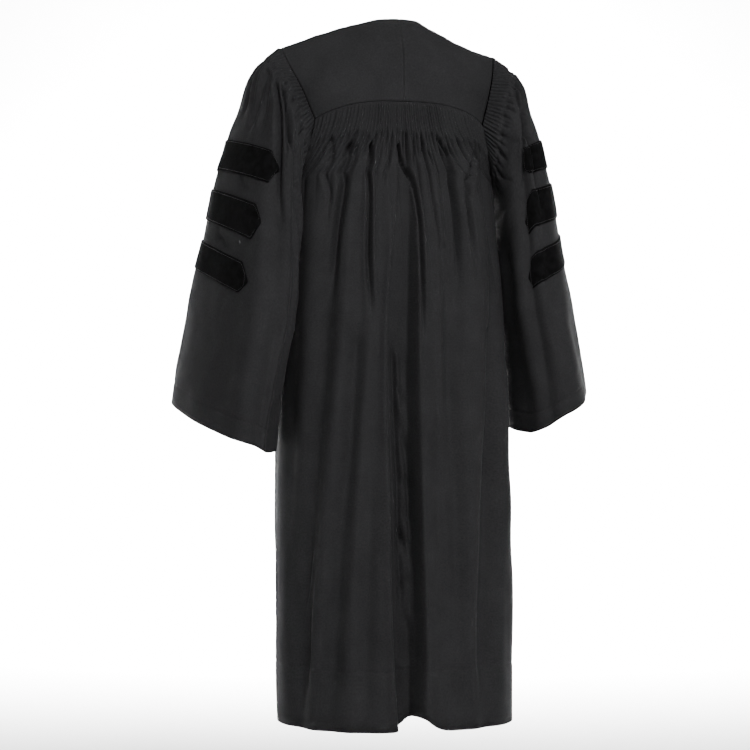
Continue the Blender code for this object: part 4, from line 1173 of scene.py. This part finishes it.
def bar_places(side, number):
    """Places round and along the sleeve for each point of a bar, and how near the bar's edge it is."""
    bar = BARS[side][number]
    share = np.linspace(0.0, 1.0, BAR_COLUMNS)
    turn = (bar.front_end + (bar.back_end - bar.front_end) * share) / 360
    to_end = (bar.back_end - bar.front_end) / 360 * np.minimum(share, 1 - share)
    half = BAR_TIP + (1 - BAR_TIP) * np.clip(to_end / BAR_POINT, 0.0, 1.0)
    spread = np.linspace(-1.0, 1.0, BAR_ROWS)
    spread = np.sign(spread) * (1 - (1 - np.abs(spread)) ** BAR_EDGE_ROWS)
    slanted = bar.middle + bar.slant * (share - BAR_SLANT_PIVOT)
    along = slanted + bar.half_height * spread[:, None] * half[None, :]
    around = np.broadcast_to(turn[None, :], along.shape)
    to_side = (1 - np.abs(spread))[:, None] * half[None, :] * bar.half_height * SLEEVE_LENGTH
    return around, along, np.minimum(to_side, to_end[None, :] * SLEEVE_GIRTH)


def on_sleeve(side, around, along, height):
    """Points at a height over the dressed sleeve at places round and along it."""
    columns = np.arange(360) / 360
    rows = np.linspace(float(along.min()) - 0.02, float(along.max()) + 0.02, 60)
    grid = sleeve_surface(columns, rows, side)
    normal = -directions(grid, closed=True)
    field = np.concatenate([grid, normal], axis=2)
    field = np.concatenate([field, field[:, :1]], axis=1)
    x = (around % 1.0) * len(columns)
    y = (along - rows[0]) / (rows[1] - rows[0])
    left = np.clip(np.floor(x).astype(int), 0, len(columns) - 1)
    top = np.clip(np.floor(y).astype(int), 0, len(rows) - 2)
    found = between_points(field, top, left, (y - top)[..., None], (x - left)[..., None])
    return found[..., :3] + found[..., 3:] * np.asarray(height)[..., None]


def make_bar(side, number):
    around, along, to_edge = bar_places(side, number)
    rounded = np.sqrt(np.clip(to_edge / BAR_EDGE_ROUND, 0.0, 1.0))
    outer = on_sleeve(side, around, along, VELVET_GAP + VELVET_BASE + VELVET_WALL * rounded)
    inner = on_sleeve(side, around, along, np.full(around.shape, VELVET_GAP))
    return shell_object("velvet_bar_" + side + "_" + str(number + 1), outer, 0.0, velvet,
                        mirrored=side == "right", inner=inner)


bars = {(side, number): make_bar(side, number) for side in ("left", "right") for number in range(3)}

# %% [markdown]
# ## Stitches and zip teeth
#
# A sewing machine leaves a row of equal stitches, and a zip is a row of equal teeth. Both are one
# small piece repeated along a line, so one Geometry Nodes group makes them: it spaces points along
# the line, puts the piece on each, and turns it to the line. The thread is 0.3 mm thick, but it
# is drawn at 0.5 mm so that it shows at all.

# %% The repeat group
STITCH_PITCH = 0.0036
STITCH_LENGTH = 0.0026
STITCH_RADIUS = 0.00025
TOOTH_PITCH = 0.0017

REPEAT_SOCKETS = (("Line", "INPUT", "Geometry"), ("Pitch", "INPUT", "Float"), ("Piece", "INPUT", "Object"),
                  ("Finish", "INPUT", "Material"), ("Row", "OUTPUT", "Geometry"))
REPEAT_STEPS = {
    "given": "NodeGroupInput", "result": "NodeGroupOutput", "to_curve": "GeometryNodeMeshToCurve",
    "spaced": "GeometryNodeResampleCurve", "tangent": "GeometryNodeInputTangent",
    "turned": "FunctionNodeAlignEulerToVector", "piece": "GeometryNodeObjectInfo",
    "placed": "GeometryNodeInstanceOnPoints", "real": "GeometryNodeRealizeInstances",
    "finished": "GeometryNodeSetMaterial",
}
REPEAT_LINKS = (
    ("given", "Line", "to_curve", "Mesh"),
    ("to_curve", "Curve", "spaced", "Curve"),
    ("given", "Pitch", "spaced", "Length"),
    ("given", "Piece", "piece", "Object"),
    ("tangent", "Tangent", "turned", "Vector"),
    ("spaced", "Curve", "placed", "Points"),
    ("piece", "Geometry", "placed", "Instance"),
    ("turned", "Rotation", "placed", "Rotation"),
    ("placed", "Instances", "real", "Geometry"),
    ("real", "Geometry", "finished", "Geometry"),
    ("given", "Finish", "finished", "Material"),
    ("finished", "Geometry", "result", "Row"),
)


def make_repeat_group():
    """Geometry Nodes that repeat a small piece along a line."""
    group = bpy.data.node_groups.new("repeat_along_line", "GeometryNodeTree")
    for label, way, kind in REPEAT_SOCKETS:
        group.interface.new_socket(label, in_out=way, socket_type="NodeSocket" + kind)
    steps = {name: group.nodes.new(kind) for name, kind in REPEAT_STEPS.items()}
    steps["spaced"].mode = "LENGTH"
    steps["turned"].axis = "Z"
    steps["turned"].pivot_axis = "AUTO"
    for first, output, second, socket in REPEAT_LINKS:
        group.links.new(steps[first].outputs[output], steps[second].inputs[socket])
    return group


# A capsule's rings: places along its half length, and sizes as shares of its radius
CAPSULE_RINGS = ((-1.0, 0.15), (-0.85, 0.75), (-0.5, 1.0), (0.5, 1.0), (0.85, 0.75), (1.0, 0.15))


def small_capsule(name, half_length, radius, sides, along_x=False):
    """A little rod with rounded ends, long in Z or in X."""
    rings = []
    for place, size in CAPSULE_RINGS:
        for step in range(sides):
            turn = 2 * math.pi * step / sides
            point = (radius * size * math.cos(turn), radius * size * math.sin(turn), half_length * place)
            rings.append((point[2], point[1], -point[0]) if along_x else point)
    last = len(CAPSULE_RINGS) - 1
    faces = [tuple(range(sides))[::-1], tuple(range(last * sides, (last + 1) * sides))]
    for ring in range(last):
        for step in range(sides):
            after = (step + 1) % sides
            faces.append((ring * sides + step, ring * sides + after,
                          (ring + 1) * sides + after, (ring + 1) * sides + step))
    data = bpy.data.meshes.new(name)
    data.from_pydata(rings, [], faces)
    data.shade_smooth()
    return bpy.data.objects.new(name, data)


def repeat_along(name, lines, pitch, piece, material):
    """A plain mesh of the piece repeated along lines of points."""
    points = np.concatenate(lines)
    edges = []
    start = 0
    for line in lines:
        edges.extend((start + k, start + k + 1) for k in range(len(line) - 1))
        start += len(line)
    data = bpy.data.meshes.new(name + "_line")
    data.from_pydata(points.tolist(), edges, [])
    source = add_object(name + "_line", data)
    modifier = source.modifiers.new("repeat", "NODES")
    modifier.node_group = repeat_group
    values = {"Pitch": pitch, "Piece": piece, "Finish": material}
    for item in repeat_group.interface.items_tree:
        if item.in_out == "INPUT" and item.name in values:
            modifier[item.identifier] = values[item.name]
    bpy.context.view_layer.update()
    evaluated = source.evaluated_get(bpy.context.evaluated_depsgraph_get())
    made = bpy.data.meshes.new_from_object(evaluated)
    source.modifiers.remove(modifier)
    bpy.data.objects.remove(source)
    made.name = name
    made.shade_smooth()
    print(name, len(made.polygons), "faces")
    return add_object(name, made)


repeat_group = make_repeat_group()
stitch = small_capsule("one_stitch", STITCH_LENGTH / 2, STITCH_RADIUS, 5)
print("the group has", len(repeat_group.nodes), "nodes")

# %% [markdown]
# ## Thread, nylon and enamel
#
# The thread is spun polyester, black like the cloth but a little brighter because it is round and
# lies on top. The zip's tape and coil are nylon, smoother than cloth. Its slider and pull are cast
# metal under black enamel, which chips to a duller black at the edges.

# %% Small materials
def make_thread():
    material, shader = new_material("black_polyester_thread", Roughness=0.6, Specular_IOR_Level=0.35,
                                    Sheen_Weight=0.1)
    twist = noise(material, object_place(material), 900.0, 1.0)
    return connect(material, shader, Base_Color=two_colours(material, twist, "#0e0e0f", "#1a1a1b"))


def make_nylon():
    material, shader = new_material("black_nylon_zip", Roughness=0.60, Specular_IOR_Level=0.2)
    grain = noise(material, object_place(material), 400.0, 2.0)
    return connect(material, shader, Base_Color=two_colours(material, grain, "#161617", "#212122"),
                   Normal=bump(material, grain, 0.3, 0.0002))


def make_enamel():
    material, shader = new_material("black_enamelled_metal", Roughness=0.50, Specular_IOR_Level=0.25,
                                    Coat_Weight=0.1, Coat_Roughness=0.40)
    wear = noise(material, object_place(material), 250.0, 3.0)
    return connect(material, shader, Base_Color=two_colours(material, wear, "#0b0b0c", "#19191a"),
                   Roughness=remapped(material, wear, To_Min=0.45, To_Max=0.60))


thread = make_thread()
nylon = make_nylon()
enamel = make_enamel()
for node_name in ("zip_slider", "zip_pull"):
    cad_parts[node_name].material_slots[0].material = enamel
print("small materials:", thread.name, nylon.name, enamel.name)

# %% [markdown]
# ## The zip and the bars' stitching
#
# The zip runs from the neck to the hem behind the two front edges. A nylon coil closes it, wound
# so tightly that it shows as a row of little bars. A row of stitches holds each side of the tape.
# Each velvet bar has one row of stitches all round, 3 mm inside its edge.

# %% Make the zip and the stitches
ZIP_TAPE_HALF = 0.011
ZIP_TAPE_BACK = 0.0034
ZIP_TAPE_WALL = 0.0006
TOOTH_HALF_LENGTH = 0.0026
TOOTH_RADIUS = 0.00062
TOOTH_FORWARD = 0.0006
ZIP_STITCH_IN = 0.0075
STITCH_FORWARD = 0.0001
BAR_STITCH_IN = 0.003


def front_edge_line(step_back, place=1.0):
    """Points down the front's edge, moved back into the gown."""
    heights = np.linspace(CHEST_HEIGHT, HEM_HEIGHT, 120)[1:]
    across = np.array([0.0, 0.5, place])
    return front_surface(across, 30, heights)[:, -1] + np.array([0.0, step_back, 0.0])


def make_zip_tape():
    line = front_edge_line(ZIP_TAPE_BACK)
    offsets = np.linspace(-ZIP_TAPE_HALF, ZIP_TAPE_HALF, 9)
    grid = np.repeat(line[:, None], len(offsets), axis=1)
    grid[..., 0] = offsets[::-1]
    inner = grid + np.array([0.0, ZIP_TAPE_WALL, 0.0])
    return shell_object("zip_tape", grid, 0.0, nylon, inner=inner)


zip_tape = make_zip_tape()
tooth = small_capsule("one_tooth", TOOTH_HALF_LENGTH, TOOTH_RADIUS, 6, along_x=True)
tooth_line = front_edge_line(ZIP_TAPE_BACK - TOOTH_FORWARD)
tooth_line[:, 0] = 0.0
zip_teeth = repeat_along("zip_teeth", [tooth_line], TOOTH_PITCH, tooth, nylon)
stitch_place = 1 - ZIP_STITCH_IN / FRONT_WIDTH
zip_line = front_edge_line(-STITCH_FORWARD, stitch_place)
mirrored_line = zip_line * np.array([-1.0, 1.0, 1.0])
zip_stitches = repeat_along("zip_stitches", [zip_line, mirrored_line], STITCH_PITCH, stitch, thread)


def bar_stitch_line(side, number):
    """A closed line of points on a bar, a little inside its edge all round."""
    around, along = bar_places(side, number)[:2]
    share = np.linspace(0.02, 0.98, BAR_COLUMNS)
    columns = np.round(share * (BAR_COLUMNS - 1)).astype(int)
    keep = 1 - BAR_STITCH_IN / (BARS[side][number].half_height * SLEEVE_LENGTH)
    middle = (along[0] + along[-1]) / 2
    half = (along[-1] - along[0]) / 2 * keep
    forward = np.stack([around[0, columns], (middle - half)[columns]], axis=1)
    backward = np.stack([around[0, columns], (middle + half)[columns]], axis=1)[::-1]
    places = np.concatenate([forward, backward, forward[:1]])
    height = np.full(len(places), VELVET_GAP + VELVET_WALL + VELVET_BASE)
    line = on_sleeve(side, places[:, 0], places[:, 1], height)
    return line * np.array([-1.0 if side == "right" else 1.0, 1.0, 1.0])


bar_stitches = []
for side, number in bars:
    line = bar_stitch_line(side, number)
    name = "bar_stitches_" + side + "_" + str(number + 1)
    bar_stitches.append(repeat_along(name, [line], STITCH_PITCH, stitch, thread))

# %% [markdown]
# ## Floor and light
#
# The photograph has a white ground. A pale floor that curves up into a wall stands in for it, far
# enough away to catch no hard shadow, and two strong lights whiten that wall. The gown itself has
# a main light, high and a little to the right of the camera, a weaker one further right, a faint
# one in front of it, and an even glow from the room.

# %% Stage and lights
FLOOR_HEIGHT = -1.46
STAGE_BACK = 5.6
STAGE_HALF = 9.0
STAGE_TOP = 6.0
STAGE_ROUND = 2.4
BACKDROP_DEPTH = 3.9
GOWN_MIDDLE = (0.0, 0.0, -0.55)
GOWN_TOP = (0.0, 0.0, -0.15)
BACKDROP = (-BACKDROP_DEPTH * towards_camera[0], -BACKDROP_DEPTH * towards_camera[1], -0.2)

# A light's azimuth is in the camera's own measure of angles round the gown
Light = namedtuple("Light", "name azimuth height distance size watts aim spread")
LIGHTS = (
    Light("main_light", 176.0, 2.6, 4.0, 1.6, 370.0, GOWN_TOP, 180.0),
    Light("side_light", 226.0, 1.2, 4.2, 2.2, 30.0, GOWN_MIDDLE, 180.0),
    Light("front_light", 0.0, 1.2, 3.6, 2.4, 14.0, GOWN_MIDDLE, 180.0),
    Light("backdrop_light_left", 40.0, 2.3, 3.8, 2.0, 1150.0, BACKDROP, 75.0),
    Light("backdrop_light_right", 284.0, 2.3, 3.8, 2.0, 1150.0, BACKDROP, 75.0),
)


def make_stage():
    """A floor that bends up into a wall behind the gown, seen from the camera."""
    profile = [(-STAGE_HALF, 0.0)]
    for bend in np.linspace(0.0, math.pi / 2, 13).tolist():
        profile.append((STAGE_BACK - STAGE_ROUND + STAGE_ROUND * math.sin(bend),
                        STAGE_ROUND - STAGE_ROUND * math.cos(bend)))
    profile.append((STAGE_BACK, STAGE_TOP))
    mesh = bmesh.new()
    forward = (-towards_camera[0], -towards_camera[1])
    sideways = (forward[1], -forward[0])
    rows = []
    for depth, height in profile:
        row = []
        for side in (-STAGE_HALF, STAGE_HALF):
            row.append(mesh.verts.new((forward[0] * depth + sideways[0] * side,
                                       forward[1] * depth + sideways[1] * side, FLOOR_HEIGHT + height)))
        rows.append(row)
    for first, second in zip(rows, rows[1:]):
        mesh.faces.new((first[0], first[1], second[1], second[0]))
    data = bpy.data.meshes.new("pale_floor")
    mesh.to_mesh(data)
    mesh.free()
    data.shade_smooth()
    paper, shader = new_material("white_studio_paper", Roughness=0.9)
    grain = noise(paper, None, 3.0, 2.0)
    data.materials.append(connect(paper, shader, Base_Color=two_colours(paper, grain, "#f6f6f6", "#fafafa")))
    floor = add_object("pale_floor", data)


def soft_light(row):
    """A square soft light that faces its aim."""
    light = bpy.data.lights.new(row.name, "AREA")
    light.spread = math.radians(row.spread)
    light.shape = "SQUARE"
    light.size = row.size
    light.energy = row.watts
    lamp = add_object(row.name, light)
    turn = math.radians(row.azimuth)
    lamp.location = (row.distance * math.sin(turn), -row.distance * math.cos(turn), row.height)
    away = np.array(lamp.location) - np.array(row.aim)
    flat = math.hypot(away[0], away[1])
    lamp.rotation_euler = (math.atan2(flat, away[2]), 0.0, math.atan2(away[0], -away[1]))


make_stage()
for light_row in LIGHTS:
    soft_light(light_row)
room = bpy.data.worlds.new("white_room")
room.use_nodes = True
room.node_tree.nodes["Background"].inputs["Color"].default_value = linear("#ffffff")
room.node_tree.nodes["Background"].inputs["Strength"].default_value = 0.30
bpy.context.scene.world = room
print("a stage, three lights on the gown, two on the wall and a white room")

# %% [markdown]
# ## What moves with what
#
# All the cloth rides on the gown's own body. Each piece stands for the solid whose form it has.

def declare(piece, node):
    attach(piece, "gown")
    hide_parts(node)


declare(gown_back, "back")
for side in ("left", "right"):
    declare(yokes[side], "yoke_" + side)
    declare(fronts[side], "front_" + side)
    declare(sleeves[side], "sleeve_" + side)
    for number in range(3):
        declare(bars[side, number], "bar_" + side + "_" + str(number + 1))

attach(zip_tape, "gown")
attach(zip_teeth, "gown")
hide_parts("zip_coil")
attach(zip_stitches, "gown")
for stitches in bar_stitches:
    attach(stitches, "gown")

# %% The finished scene
bpy.context.view_layer.update()
